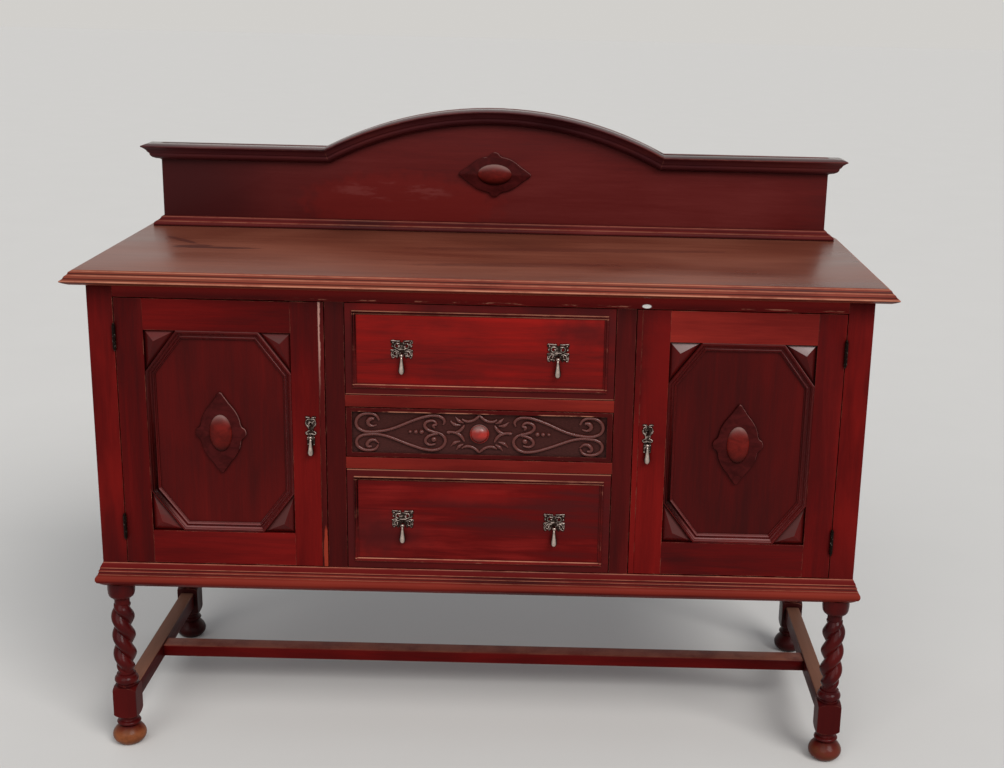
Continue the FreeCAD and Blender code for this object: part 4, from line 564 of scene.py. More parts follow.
def finishes():
    """Makes every finish; the pieces take them by name."""
    red, rail, drawer = tints("red"), tints("rail"), tints("drawer")
    panel, divider, board, dark = (tints(name) for name in ("panel", "divider", "backboard", "moulding"))
    red_dark, red_middle, red_light = red
    haze, facet_highlight, faint_facet_highlight = tint("haze"), tint("facet_highlight"), tint("faint_facet_highlight")
    leg = (dark[0], divider[1], panel[1])
    bead = (red_dark, tint("bead"), red_light)
    plain = graded(tint("plain_wood"), 0.6)
    back = tuple(tuple((a + b) / 2 for a, b in zip(panel[1], tone)) for tone in red)

    wood("mahogany_left_upright", "z", shaded(red, 0.86), 1.0)
    wood("mahogany_right_upright", "z", red, 1.6, extra=uneven)
    wood("mahogany_left_across", "x", shaded(red, 0.86), 2.0)
    wood("mahogany_across", "x", red, 2.0)
    wood("mahogany_corner", "z", shaded(red, 0.85), 0.6, extra=brighter_below)
    wood("mahogany_divider", "z", divider, 1.9)
    wood("mahogany_top_rail", "x", red, 2.6, extra=paint_fleck)
    wood("mahogany_left_door_rail", "x", red, 2.2)
    wood("mahogany_right_door_rail", "x", shaded(rail, 1.6), 2.9)
    wood("mahogany_drawer_rail", "x", rail, 3.3)
    wood("mahogany_chipped_strip", "z", divider, 1.4, extra=chipped)
    wood("mahogany_ends", "z", red, 3.0)
    wood("mahogany_stretcher", "y", leg, 4.0)
    wood("mahogany_stretcher_top", "y", graded(tint("stretcher_top"), 0.7), 4.3, rough=(0.4, 0.55))
    # Worn line with a painted highlight along the long stretcher's top front edge
    wood("mahogany_long_stretcher", "x", shaded(red, 0.85), 4.6, gloss=0.05,
         extra=banded(("wear_and_highlight_line", 0.1086, 0.0010, 0.35)))
    wood("mahogany_drawer", "x", drawer, 5.3, 2.2, 0.5, extra=bordered("top_drawer_front", -1, (
        ("figure_dark", 0.20, 0.040, 0.11, 0.042, 0.8),
        ("figure_dark", -0.05, -0.045, 0.11, 0.022, 0.5),
        ("drawer_light", -0.08, 0.03, 0.10, 0.03, 0.4))))
    wood("mahogany_figured_drawer", "x", (tint("figure_dark"), red_middle, tint("figure_light")),
         6.1, 3.0, 0.75, extra=bordered("bottom_drawer_front", 1, (
             ("figure_dark", -0.19, -0.03, 0.12, 0.065, 0.9),
             ("drawer_middle", -0.02, 0.05, 0.15, 0.020, 0.5),
             ("figure_dark", 0.06, -0.02, 0.12, 0.018, 0.4))))
    wood("mahogany_carved_drawer", "x", (red_dark, divider[1], red_middle), 5.8, extra=chipped_field)
    wood("mahogany_panel", "z", panel, 7.0, 2.6, 0.28, hollow_shade=0.9)
    wood("mahogany_panel_moulding", "z", panel, 7.5, wear=0, gloss=0.10, rough=(0.22, 0.32))
    # Painted highlight: upward faces of the octagon mouldings
    wood("mahogany_highlit_moulding", "x", (panel[2], haze, haze), 7.6, wear=0, gloss=0.2)
    # Painted highlight on the corner blocks' upper facets, bright and faint
    wood("mahogany_facet_highlight", "x", (facet_highlight, facet_highlight, facet_highlight), 7.7, gloss=0.5)
    wood("mahogany_faint_facet_highlight", "x", (panel[2], faint_facet_highlight, faint_facet_highlight), 7.8, gloss=0.08)
    wood("mahogany_top", "x", tints("top"), 8.0, 1.8, wear=0.75, hollow_shade=0.4, rough=(0.24, 0.40),
         gloss=0.4, extra=smeared)
    # Lip, strip and base: the dark groove bands are painted shade, the light lines are worn and carry a
    # painted highlight
    wood("mahogany_lip", "x", (red_dark, tint("lip"), tint("top_middle")), 8.4, wear=0.3, extra=banded(
        ("groove_shade", 0.9661, 0.0016, 0.75), ("groove_shade", 0.9577, 0.0014, 0.75), ("groove_shade", 0.9506, 0.0016, 0.7),
        ("wear_and_highlight_line", 0.9703, 0.0011, 0.7), ("wear_and_highlight_line", 0.9632, 0.0012, 0.6),
        ("wear_and_highlight_line", 0.9538, 0.0016, 0.95)))
    wood("mahogany_backboard", "x", board, 9.0, 1.7, 0.25, 0.3, extra=darkened_end)
    wood("dark_mahogany_cornice", "x", dark, 9.6, gloss=0.12)
    wood("dark_mahogany_cornice_top", "x", dark, 9.8, gloss=0.6, rough=(0.14, 0.22))
    wood("dark_mahogany_strip", "x", board, 9.2, wear=0.2, extra=banded(
        ("groove_shade", 0.9735, 0.0014, 0.8), ("groove_shade", 0.9865, 0.0013, 0.5),
        ("wear_and_highlight_line", 0.9820, 0.0014, 0.30), ("wear_and_highlight_line", 0.9905, 0.0010, 0.35)))
    wood("mahogany_base_moulding", "x", (red_dark, tint("base_middle"), tint("base_light")), 10.2,
         wear=0.4, gloss=0.03, extra=banded(
             ("red_middle", 0.3895, 0.0060, 0.8), ("wear_and_highlight_line", 0.3952, 0.0013, 0.45),
             ("wear_and_highlight_line", 0.3852, 0.0009, 0.6), ("groove_shade", 0.3830, 0.0013, 0.8),
             ("wear_and_highlight_line", 0.3795, 0.0008, 0.6), ("groove_shade", 0.3762, 0.0011, 0.7),
             ("wear_and_highlight_line", 0.3725, 0.0010, 0.5), ("base_light", 0.3660, 0.0080, 0.6)))
    for place, seed in (("top", 10.8), ("bottom", 10.4)):
        line = beaded(place + "_drawer_bead")
        wood(f"mahogany_{place}_bead", "x", bead, seed, wear=0.15, extra=line)
    wood("mahogany_turned", "z", leg, 11.0, 9.0, 0.3, 0, 0.8, (0.16, 0.26), 0.08, scuffed)
    # Rear legs: the legs' wood dimmed as painted shade
    wood("mahogany_rear_turned_in_shade", "z", shaded(leg, 0.45), 11.5, 9.0, gloss=0.10)
    wood("mahogany_leg_block", "z", (red_dark, divider[1], divider[2]), 11.2, gloss=0.05)
    for name, along, seed in (("across", "x", 12.0), ("upright", "z", 13.0), ("deep", "y", 14.0)):
        wood("plain_wood_" + name, along, plain, seed, wear=0, rough=(0.6, 0.75))
    wood("mahogany_back", "z", back, 15.0, wear=0, rough=(0.5, 0.65))

    polished("dark_cartouche", tint("cartouche"), 0.4, 0.04)
    # Painted highlight for the lozenges' upper right edges
    polished("highlit_rim", tint("rim"), 0.4, 0.1)
    # Jewels and boss: painted highlight on top, painted shade beneath
    polished("red_jewel", tint("jewel"), 0.42, 0.09, True)
    polished("red_boss", tint("boss"), 0.26, 0.35, True)
    carved_ground()
    carved_ridge()
    brass("antique_brass", 0.9)
    # Drops: painted shade on their sides
    brass("rubbed_brass", 1.8, 1.35, (0.15, 0.25), 0.85)
    # Hinges: tarnished brass, dimmed further as painted shade
    brass("tarnished_shaded_brass", 0.15, 0.4)
    brass("tarnished_brass", 0.25)


def dress(obj, name):
    """Gives an object one finish."""
    obj.data.materials.clear()
    obj.data.materials.append(bpy.data.materials[name])
    return obj


def lay(obj, name, chosen):
    """Lays a further finish on the faces that the test chooses."""
    obj.data.materials.append(bpy.data.materials[name])
    for face in obj.data.polygons:
        if chosen(face):
            face.material_index = len(obj.data.materials) - 1


# Modelling


def clear_selection():
    if bpy.context.object and bpy.context.object.mode != "OBJECT":
        bpy.ops.object.mode_set(mode="OBJECT")
    bpy.ops.object.select_all(action="DESELECT")


def choose(*objs):
    clear_selection()
    for obj in objs:
        obj.select_set(True)
    bpy.context.view_layer.objects.active = objs[0]


def joined(name, objs):
    choose(*objs)
    if len(objs) > 1:
        bpy.ops.object.join()
    made = bpy.context.object
    made.name = name
    return made


def settle(obj):
    """Applies an object's place, turn and scale to its mesh."""
    choose(obj)
    bpy.ops.object.transform_apply(location=True, rotation=True, scale=True)
    return obj


def seated(obj, place=(0, 0, 0), turn=(0, 0, 0)):
    """Turns an object, moves it to its place and settles it there."""
    obj.rotation_euler = turn
    obj.location = place
    return settle(obj)


def apply_modifier(obj, kind, **settings):
    choose(obj)
    modifier = obj.modifiers.new(kind.title(), kind)
    for key, value in settings.items():
        setattr(modifier, key, value)
    bpy.ops.object.modifier_apply(modifier=modifier.name)
    return obj


def open_mesh(obj, merge):
    """Opens an object's whole mesh for editing, with its doubles merged."""
    choose(obj)
    bpy.ops.object.mode_set(mode="EDIT")
    bpy.ops.mesh.select_all(action="SELECT")
    bpy.ops.mesh.remove_doubles(threshold=merge)


def close_mesh(angle):
    """Ends the editing and smooths the edges that are shallower than an angle in degrees."""
    bpy.ops.object.mode_set(mode="OBJECT")
    bpy.ops.object.shade_smooth_by_angle(angle=math.radians(angle))


def outward(obj, angle=35):
    """Merges doubles, points the faces outwards and smooths the shallow edges."""
    open_mesh(obj, 1e-6)
    bpy.ops.mesh.normals_make_consistent(inside=False)
    close_mesh(angle)
    return obj


def copied(obj, name):
    made = bpy.data.objects.new(name, obj.data.copy())
    bpy.context.scene.collection.objects.link(made)
    return made


def hand_in(obj, body, node):
    """Seats a finished piece on its body and lets it stand for its node."""
    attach(obj, body)
    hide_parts(node)


def middle_of(node):
    low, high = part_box(node)
    return (low + high) / 2


def softened(node, finish, slot, kind):
    """Copy of a CAD node with its edges rounded as its kind is, which stands for the node."""
    rounding = getattr(sizes(), kind + "_rounding")
    made = copied(NODES[node], node + "_softened")
    open_mesh(made, 1e-5)
    bpy.ops.mesh.dissolve_limited(angle_limit=math.radians(1))
    bpy.ops.object.mode_set(mode="OBJECT")
    apply_modifier(
        made, "BEVEL", width=rounding, segments=2, limit_method="ANGLE", angle_limit=math.radians(20))
    close_mesh(32)
    dress(made, finish)
    hand_in(made, NODES[node]["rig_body"], node)
    return made


def grown(name, rings, sides=48):
    """Closed solid grown upward from a disc: each ring is (half width, half depth, height)."""
    wide, deep, low = rings[0]
    clear_selection()
    bpy.ops.mesh.primitive_circle_add(
        vertices=sides, radius=1, fill_type="NGON", location=(0, 0, low), enter_editmode=True)
    made = bpy.context.object
    made.name = name
    bpy.ops.transform.resize(value=(wide, deep, 1), center_override=(0, 0, low))
    for before, after in zip(rings, rings[1:]):
        bpy.ops.mesh.extrude_region_move(
            TRANSFORM_OT_translate={"value": (0, 0, after[2] - before[2])})
        bpy.ops.transform.resize(
            value=(after[0] / before[0], after[1] / before[1], 1), center_override=(0, 0, after[2]))
    bpy.ops.object.mode_set(mode="OBJECT")
    return outward(settle(made))


def turned(name, profile, sides=48):
    """Turned piece from (radius, height) steps."""
    return grown(name, [(radius, radius, height) for radius, height in profile], sides)


def bulge(start, via, end, count=8):
    """Smooth steps from start through via to end."""
    steps = [start]
    for index in range(1, count + 1):
        t = index / count
        steps.append(tuple(
            a * (1 - t) * (1 - 2 * t) + v * 4 * t * (1 - t) + b * t * (2 * t - 1)
            for a, v, b in zip(start, via, end)))
    return steps


def dome(wide, deep, rise, steps, reach, low=0.0):
    """Rings of a dome, up to a share of the way from its rim to its crown."""
    rings = []
    for step in range(1, steps + 1):
        angle = step / steps * math.pi / 2 * reach
        rings.append((wide * math.cos(angle), deep * math.cos(angle), low + rise * math.sin(angle)))
    return rings


def curve_through(points, handles="AUTOMATIC", closed=False):
    """Curve through (x, y, z) points, straight between them with the handles VECTOR."""
    clear_selection()
    bpy.ops.curve.primitive_bezier_curve_add(enter_editmode=True)
    bpy.ops.curve.delete(type="VERT")
    for point in points:
        bpy.ops.curve.vertex_add(location=point)
    if closed:
        bpy.ops.curve.cyclic_toggle()
    bpy.ops.curve.select_all(action="SELECT")
    bpy.ops.curve.handle_type_set(type=handles)
    bpy.ops.object.mode_set(mode="OBJECT")
    return bpy.context.object


def meshed(curve, **settings):
    """Mesh of a curve with these settings."""
    for key, value in settings.items():
        setattr(curve.data, key, value)
    choose(curve)
    bpy.ops.object.convert(target="MESH")
    return bpy.context.object


def strand(name, points, radius, widths=(1.0,)):
    """Round strand through (x, y, z) points, swelling and tapering by its widths."""
    made = curve_through(points)
    made.name = name
    for index, knot in enumerate(made.data.splines[0].bezier_points):
        knot.radius = widths[min(index, len(widths) - 1)]
    return meshed(made, dimensions="3D", resolution_u=6, bevel_depth=radius, bevel_resolution=3,
                  use_fill_caps=True)


def sheet_cut(name, outline, holes, thickness, handles="VECTOR", rounding=0.0003):
    """Flat plate facing -Y from (x, z) outlines, with holes and rounded edges."""
    curves = []
    for index, points in enumerate([outline, *holes]):
        flat = [(x, z, 0) for x, z in points]
        curves.append(curve_through(flat, "VECTOR" if index else handles, closed=True))
    made = meshed(
        joined(name, curves), dimensions="2D", fill_mode="BOTH", resolution_u=4,
        extrude=thickness / 2 - rounding, bevel_depth=rounding, bevel_resolution=1, offset=-rounding)
    return outward(seated(made, (0, -thickness / 2, 0), FORWARD))


def both_halves(right):
    """Whole outline of (x, z) points in millimetres from its right half, top to bottom, in metres."""
    right = [(x / 1000, z / 1000) for x, z in right]
    return right + [(-x, z) for x, z in reversed(right) if x > 0]


class SIDEBOARD_OT_boards(bpy.types.Operator):
    """Finishes the boards and mouldings and rounds the edges of those that show"""

    bl_idname = "sideboard.boards"
    bl_label = "Boards and mouldings"

    kept = {
        "bottom_rail": "mahogany_across", "base_board": "mahogany_across", "back_panel": "mahogany_back",
        "carcase_floor": "plain_wood_across", "cupboard_shelves": "plain_wood_across",
        "partitions": "plain_wood_upright", "runners_and_stops": "plain_wood_deep",
        "top_drawer_box": "plain_wood_deep", "carved_drawer_box": "plain_wood_deep",
        "bottom_drawer_box": "plain_wood_deep", "frame_hinges": "tarnished_shaded_brass",
    }
    kept_of_door = {
        "panel": "mahogany_panel", "hinge_leaves": "tarnished_shaded_brass", "lock": "tarnished_brass",
        "bolt": "tarnished_brass",
    }
    # Node, finish, slot and kind of rounding
    rounded = (
        ("top_board", "mahogany_top", "top_mahogany", "moulding"),
        ("backboard", "mahogany_backboard", "mahogany", "edge"),
        ("backboard_cornice", "dark_mahogany_cornice", "dark_mahogany", "moulding"),
        ("backboard_strip", "dark_mahogany_strip", "dark_mahogany", "moulding"),
        ("base_moulding", "mahogany_base_moulding", "dark_mahogany", "moulding"),
        ("front_stiles", "mahogany_corner", "mahogany", "edge"),
        ("top_rail", "mahogany_top_rail", "mahogany", "edge"),
        ("drawer_rails", "mahogany_drawer_rail", "mahogany", "edge"),
        ("side_panels", "mahogany_ends", "mahogany", "edge"),
        ("side_stretchers", "mahogany_stretcher", "mahogany", "edge"),
        ("long_stretcher", "mahogany_long_stretcher", "mahogany", "edge"),
        ("top_drawer_front", "mahogany_drawer", "mahogany", "edge"),
        ("bottom_drawer_front", "mahogany_figured_drawer", "mahogany", "edge"),
        ("carved_drawer_front", "mahogany_carved_drawer", "mahogany", "edge"),
        ("top_drawer_bead", "mahogany_top_bead", "mahogany", "moulding"),
        ("bottom_drawer_bead", "mahogany_bottom_bead", "mahogany", "moulding"),
    )
    # Node, further finish, and the way and the least share of it that its faces look
    faced = (
        ("side_stretchers", "mahogany_stretcher_top", (0, 0, 1), 0.7),
        ("backboard_cornice", "dark_mahogany_cornice_top", (0, 0, 1), 0.6),
        ("top_board", "mahogany_lip", (0, 0, -1), -0.95),
    )

    def execute(self, context):
        finishes()
        for node, finish in self.kept.items():
            dress(NODES[node], finish)
        made = {row[0]: softened(*row) for row in self.rounded}
        for node, finish, way, least in self.faced:
            lay(made[node], finish, lambda face: face.normal.dot(Vector(way)) > least)
        lay(made["front_stiles"], "mahogany_divider", lambda face: abs(face.center.x) < 0.4)
        self.sunk_ground(made["carved_drawer_front"])
        for side in ("left", "right"):
            self.door(side)
        return {"FINISHED"}

    def door(self, side):
        door = side + "_door_"
        for part, finish in self.kept_of_door.items():
            dress(NODES[door + part], finish)
        moulded = ("mahogany_panel_moulding", "dark_mahogany", "moulding")
        self.door_grain(softened(door + "frame", f"mahogany_{side}_upright", "mahogany", "edge"), side)
        # Faces of the octagon turned towards the light take the painted highlight finish
        highlight_way = Vector((0.35, 0, 0.94))
        lay(softened(door + "octagon", *moulded), "mahogany_highlit_moulding",
            lambda face: face.normal.dot(highlight_way) > 0.42)
        self.block_facets(softened(door + "pyramids", *moulded), side)

    def door_grain(self, made, side):
        """Rails have their grain across, and the left door's closing strip has its chips."""
        low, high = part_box(side + "_door_octagon")

        def over_panel(face):
            return low.x < face.center.x < high.x

        lay(made, "mahogany_left_across" if side == "left" else "mahogany_across", over_panel)
        if side == "left":
            strip = min(abs(vertex.co.x) for vertex in made.data.vertices) + 0.0105
            lay(made, "mahogany_chipped_strip",
                lambda face: not over_panel(face) and abs(face.center.x) < strip)
        lay(made, f"mahogany_{side}_door_rail",
            lambda face: over_panel(face) and face.center.z > high.z - 0.02)

    def block_facets(self, made, side):
        """Upper faces of the corner blocks take a painted highlight, a painted reflection of the sky:
        bright on the right door's upper blocks, faint on the others.
        """
        middle = middle_of(side + "_door_pyramids").z
        lay(made, "mahogany_facet_highlight" if side == "right" else "mahogany_faint_facet_highlight",
            lambda face: face.normal.z > 0.15 and face.center.z > middle)
        lay(made, "mahogany_faint_facet_highlight",
            lambda face: face.normal.z > 0.15 and face.center.z <= middle)

    def sunk_ground(self, made):
        low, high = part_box("carved_drawer_front")

        def sunk(face):
            x, y, z = face.center
            in_field = abs(x) < high.x - 0.0095 and low.z + 0.0075 < z < high.z - 0.0075
            return in_field and low.y + 0.0008 < y < low.y + 0.0085

        lay(made, "carved_ground", sunk)


class SIDEBOARD_OT_legs(bpy.types.Operator):
    """Models the turned leg with its double-rope twist and copies it to the four corners"""

    bl_idname = "sideboard.legs"
    bl_label = "Legs"

    def execute(self, context):
        left = self.leg()
        right = copied(left, "leg_right")
        right.scale.x = -1
        outward(settle(right))
        for node in LEGS:
            x, y, _ = middle_of(node)
            turn = math.pi if "rear" in node else 0
            model = copied(left if "left" in node else right, node + "_turned")
            made = seated(model, (x, y, 0), (0, 0, turn))
            dress(made, "mahogany_rear_turned_in_shade" if turn else "mahogany_turned")
            if not turn:
                lay(made, "mahogany_leg_block", self.on_block)
            hand_in(made, "carcase", node)
        for spare in (left, right):
            bpy.data.objects.remove(spare)
        return {"FINISHED"}

    def on_block(self, face):
        """Whether a face is a flat side of the square block."""
        inside = BLOCK_FOOT + 0.0005 < face.center.z < BLOCK_HEAD - 0.0005
        return inside and max(map(abs, face.normal)) > 0.99

    def leg(self):
        """Left leg from its bun foot up, with its foot's middle at the origin."""
        bun = turned("bun", [
            (0.0185, 0), *bulge((0.0222, 0.0008), (0.0331, 0.0195), (0.0180, 0.0408), 14)])
        collar = turned("collar", [
            (0.0180, 0.0405), *bulge((0.0195, 0.0408), (0.0236, 0.0455), (0.0195, 0.0502)),
            *bulge((0.0186, 0.0506), (0.0172, 0.0553), (0.0192, 0.0600), 6), (0.0192, 0.066),
        ])
        shaft = turned("shaft", [
            (0.0195, 0.120), *bulge((0.0195, 0.1298), (0.0234, 0.138), (0.0195, 0.1462)),
            (0.0190, 0.1466), (0.0188, 0.1500), (0.0150, 0.1508), (0.0147, 0.152), (0.0147, 0.158),
            (0.0145, 0.162), (0.0138, 0.167), (0.0120, 0.174),
        ])
        cap = turned("cap", [
            (0.0120, 0.283), (0.0138, 0.290), (0.0145, 0.295), (0.0147, 0.299), (0.0147, 0.3118),
            (0.0150, 0.3122), (0.0176, 0.3124),
            *bulge((0.0178, 0.3148), (0.0240, 0.3185), (0.0262, 0.3295)),
            (0.0265, 0.3306), (0.0265, 0.347), (0.012, 0.347), (0.012, 0.366),
        ])
        return settle(joined("leg_left", [bun, collar, self.block(), shaft, cap, self.twist()]))

    def block(self):
        """Square block whose corners the turning rounds off at both ends."""
        clear_selection()
        bpy.ops.mesh.primitive_cube_add(
            size=1, location=(0, 0, (BLOCK_FOOT + BLOCK_HEAD) / 2),
            scale=(0.046, 0.046, BLOCK_HEAD - BLOCK_FOOT))
        made = settle(bpy.context.object)
        apply_modifier(made, "BEVEL", width=0.0009, segments=3)
        barrel = turned("barrel", [
            (0.0205, 0.0598), *bulge((0.0226, 0.0606), (0.0290, 0.0635), (0.0345, 0.0700), 6),
            *bulge((0.0345, 0.1160), (0.0290, 0.1225), (0.0226, 0.1254), 6), (0.0205, 0.1262),
        ], 96)
        apply_modifier(made, "BOOLEAN", operation="INTERSECT", object=barrel)
        bpy.data.objects.remove(barrel)
        return outward(made, 40)

    def twist(self):
        """Two ropes grown straight up, drawn in at both ends, then twisted."""
        low, high, taper, steps, neck = 0.157, 0.300, 0.021, 78, 0.0146
        height = high - low
        radius, offset = sizes().rope_radius, sizes().rope_offset
        clear_selection()
        bpy.ops.mesh.primitive_circle_add(
            vertices=48, radius=radius, fill_type="NGON", location=(0, 0, low), enter_editmode=True)
        made = bpy.context.object
        bpy.ops.transform.translate(value=(offset, 0, 0))
        bpy.ops.mesh.bisect(plane_co=(0, 0, low), plane_no=(1, 0, 0), clear_inner=True)
        bpy.ops.object.mode_set(mode="OBJECT")
        apply_modifier(made, "MIRROR", use_axis=(True, False, False), merge_threshold=1e-5)
        bpy.ops.object.mode_set(mode="EDIT")
        bpy.ops.mesh.select_all(action="SELECT")
        bpy.ops.mesh.dissolve_limited(angle_limit=0.01)
        bpy.ops.mesh.select_all(action="SELECT")
        wide, narrow = neck / (radius + offset), neck / radius

        def fullness(place):
            reach = min(min(place, 1 - place) * height / taper, 1)
            blend = math.sin(reach * math.pi / 2)
            return wide + (1 - wide) * blend, narrow + (1 - narrow) * blend

        before = (1, 1)
        for step in range(steps + 1):
            after = fullness(step / steps)
            if step:
                bpy.ops.mesh.extrude_region_move(
                    TRANSFORM_OT_translate={"value": (0, 0, height / steps)})
            bpy.ops.transform.resize(
                value=(after[0] / before[0], after[1] / before[1], 1),
                center_override=(0, 0, low + height * step / steps))
            before = after
        bpy.ops.object.mode_set(mode="OBJECT")
        outward(made, 60)
        turn = -2 * math.pi * height / sizes().rope_pitch
        apply_modifier(made, "SIMPLE_DEFORM", deform_method="TWIST", deform_axis="Z", angle=turn)
        return outward(made, 60)


class SIDEBOARD_OT_cartouches(bpy.types.Operator):
    """Models the lozenge plaques and their oval jewels"""

    bl_idname = "sideboard.cartouches"
    bl_label = "Cartouches"

    # Lozenge with hollow sides, a swelling at each shoulder and a nib at each tip: a quarter
    # of it, as shares of its half length and half width
    quarter = [
        (1.0, 0.0), (0.985, 0.06), (0.93, 0.12), (0.83, 0.24), (0.74, 0.34), (0.66, 0.45),
        (0.56, 0.57), (0.44, 0.68), (0.31, 0.755), (0.20, 0.79), (0.14, 0.85), (0.10, 0.94),
        (0.04, 0.99), (0.0, 1.0),
    ]

    def execute(self, context):
        for node, upright, body in (("backboard_cartouche", False, "carcase"),
                                    ("left_door_cartouche", True, "left_door"),
                                    ("right_door_cartouche", True, "right_door")):
            low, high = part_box(node)
            middle, half = (low + high) / 2, (high - low) / 2
            plaque = dress(self.plaque(half, upright), "dark_cartouche")
            # Faces turned up and to the right take a painted highlight
            lit_way = Vector((0.75, 0, 0.66))
            lay(plaque, "highlit_rim", lambda face: face.normal.dot(lit_way) > 0.45)
            made = joined(node + "_carved", [plaque, dress(self.jewel(upright), "red_jewel")])
            seated(made, (middle.x, high.y, middle.z))
            hand_in(made, body, node)
        return {"FINISHED"}

    def plaque(self, half, upright):
        long, short = (half.z, half.x) if upright else (half.x, half.z)
        outline = []
        for a, b in ((1, 1), (-1, 1), (-1, -1), (1, -1)):
            turn = [(a * long * x, b * short * z) for x, z in self.quarter]
            outline += (turn if a * b > 0 else turn[::-1])[:-1]
        if upright:
            outline = [(z, x) for x, z in outline]
        return sheet_cut("plaque", outline, [], 0.006, "AUTOMATIC", 0.0014)

    def jewel(self, upright):
        """Oval dome, seated in the plaque."""
        long, short = (0.0360, 0.0212) if upright else (0.0365, 0.0220)
        made = grown("jewel", [(long, short, 0), *dome(long, short, 0.0098, 12, 0.97)], 64)
        seated(made, turn=FORWARD)
        return seated(made, (0, -0.0058, 0), SIDEWAYS if upright else (0, 0, 0))


class SIDEBOARD_OT_carving(bpy.types.Operator):
    """Models the scrolls, pellets, leaves and boss of the carved drawer"""

    bl_idname = "sideboard.carving"
    bl_label = "Carved drawer"

    # Left half, in shares of the sunk field's half width and half height from its middle:
    # scrolls, frame lines and commas with their widths, and pellets with their radius in metres
    scrolls = [
        ([(-0.788, 0.57), (-0.812, 0.8), (-0.868, 0.9), (-0.932, 0.8), (-0.968, 0.52),
          (-0.962, 0.24), (-0.925, 0.06), (-0.86, -0.01), (-0.786, 0.03), (-0.708, 0.13),
          (-0.628, 0.31), (-0.566, 0.48), (-0.507, 0.63), (-0.44, 0.77), (-0.37, 0.86),
          (-0.305, 0.8), (-0.275, 0.6), (-0.285, 0.42)],
         [0.7, 1.0, 1.15, 1.15, 1.15, 1.1, 1.05, 1.0, 1.0, 1.0, 1.0, 1.0, 1.0, 1.05, 1.1, 1.1, 1.0,
          0.6]),
        ([(-0.794, -0.62), (-0.818, -0.84), (-0.872, -0.92), (-0.932, -0.84), (-0.966, -0.62),
          (-0.96, -0.36), (-0.925, -0.2), (-0.87, -0.13), (-0.8, -0.12), (-0.73, -0.2),
          (-0.628, -0.42), (-0.52, -0.66), (-0.42, -0.82), (-0.34, -0.82), (-0.285, -0.62),
          (-0.268, -0.34), (-0.29, -0.1), (-0.325, 0.02)],
         [0.7, 1.0, 1.15, 1.15, 1.15, 1.1, 1.05, 1.0, 1.0, 1.0, 1.0, 1.0, 1.05, 1.1, 1.1, 1.1, 1.0,
          0.8]),
        ([(-0.325, 0.02), (-0.372, 0.08), (-0.418, 0.22), (-0.43, 0.42), (-0.4, 0.58),
          (-0.35, 0.56), (-0.336, 0.42)],
         [0.8, 1.0, 1.1, 1.1, 1.0, 0.9, 0.8]),
        ([(-0.325, -0.02), (-0.372, -0.08), (-0.415, -0.24), (-0.425, -0.42), (-0.395, -0.58),
          (-0.345, -0.54)],
         [0.8, 1.0, 1.1, 1.05, 0.9, 0.7]),
        ([(-0.256, 0.05), (-0.225, 0.07), (-0.19, 0.04), (-0.16, -0.04), (-0.134, -0.2),
          (-0.118, -0.38)],
         [0.9, 0.9, 1.0, 1.1, 1.1, 0.6]),
        ([(-0.19, 0.04), (-0.16, 0.12), (-0.134, 0.28), (-0.118, 0.44)],
         [0.9, 1.1, 1.1, 0.6]),
    ]
    frame_lines = [
        ([(0.0, 0.92), (-0.014, 0.83), (-0.04, 0.7), (-0.075, 0.62), (-0.112, 0.63),
          (-0.138, 0.72)],
         [0.7, 1.0, 1.0, 1.0, 1.0, 0.6]),
        ([(0.0, -0.92), (-0.014, -0.83), (-0.04, -0.7), (-0.075, -0.62), (-0.112, -0.63),
          (-0.138, -0.72)],
         [0.7, 1.0, 1.0, 1.0, 1.0, 0.6]),
    ]
    leaves = [
        [(-0.125, 0.52), (-0.16, 0.62), (-0.19, 0.8)],
        [(-0.125, -0.52), (-0.16, -0.64), (-0.185, -0.84)],
        [(-0.15, 0.4), (-0.195, 0.44), (-0.232, 0.62)],
        [(-0.15, -0.38), (-0.195, -0.46), (-0.228, -0.66)],
    ]
    commas = [
        ([(-0.826, 0.64), (-0.858, 0.62), (-0.876, 0.46), (-0.852, 0.29), (-0.806, 0.33)],
         [1.0, 1.5, 1.4, 1.0, 0.4]),
        ([(-0.79, -0.57), (-0.831, -0.4), (-0.874, -0.5), (-0.882, -0.7), (-0.85, -0.74)],
         [0.5, 1.1, 1.3, 1.2, 0.7]),
        ([(-0.336, 0.42), (-0.362, 0.36), (-0.352, 0.24)],
         [0.9, 1.2, 0.6]),
    ]
    pellets = [
        (-0.358, -0.32, 0.0054), (-0.545, 0.04, 0.0034), (-0.5, 0.04, 0.0042),
        (-0.455, 0.04, 0.0046), (-0.24, 0.05, 0.0036),
    ]

    def execute(self, context):
        low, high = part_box("carved_drawer_front")
        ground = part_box("carved_drawer_scrolls")[1].y
        middle = (low.z + high.z) / 2
        half_x, half_z = high.x - 0.0105, (high.z - low.z) / 2 - 0.008
        radius = sizes().ridge_radius
        pieces = []
        for side in (-1, 1):
            def at(x, z, y):
                return (-side * x * half_x, y, middle + z * half_z)

            for points, widths in [*self.scrolls, *self.frame_lines, *self.commas]:
                line = [at(x, z, ground - 0.0018) for x, z in points]
                pieces.append(strand("scroll", line, radius, widths))
            for points in self.leaves:
                line = [at(x, z, ground - 0.0006) for x, z in points]
                pieces.append(strand("leaf", line, radius * 1.1, [0.5, 1.2, 0.25]))
            for x, z, size in self.pellets:
                pieces.append(seated(self.pellet(size), at(x, z, ground - 0.0011), FORWARD))
        made = outward(joined("carved_drawer_scrollwork", pieces), 60)
        dress(made, "carved_ridge")
        hand_in(made, "carved_drawer", "carved_drawer_scrolls")
        self.boss(ground, middle)
        return {"FINISHED"}

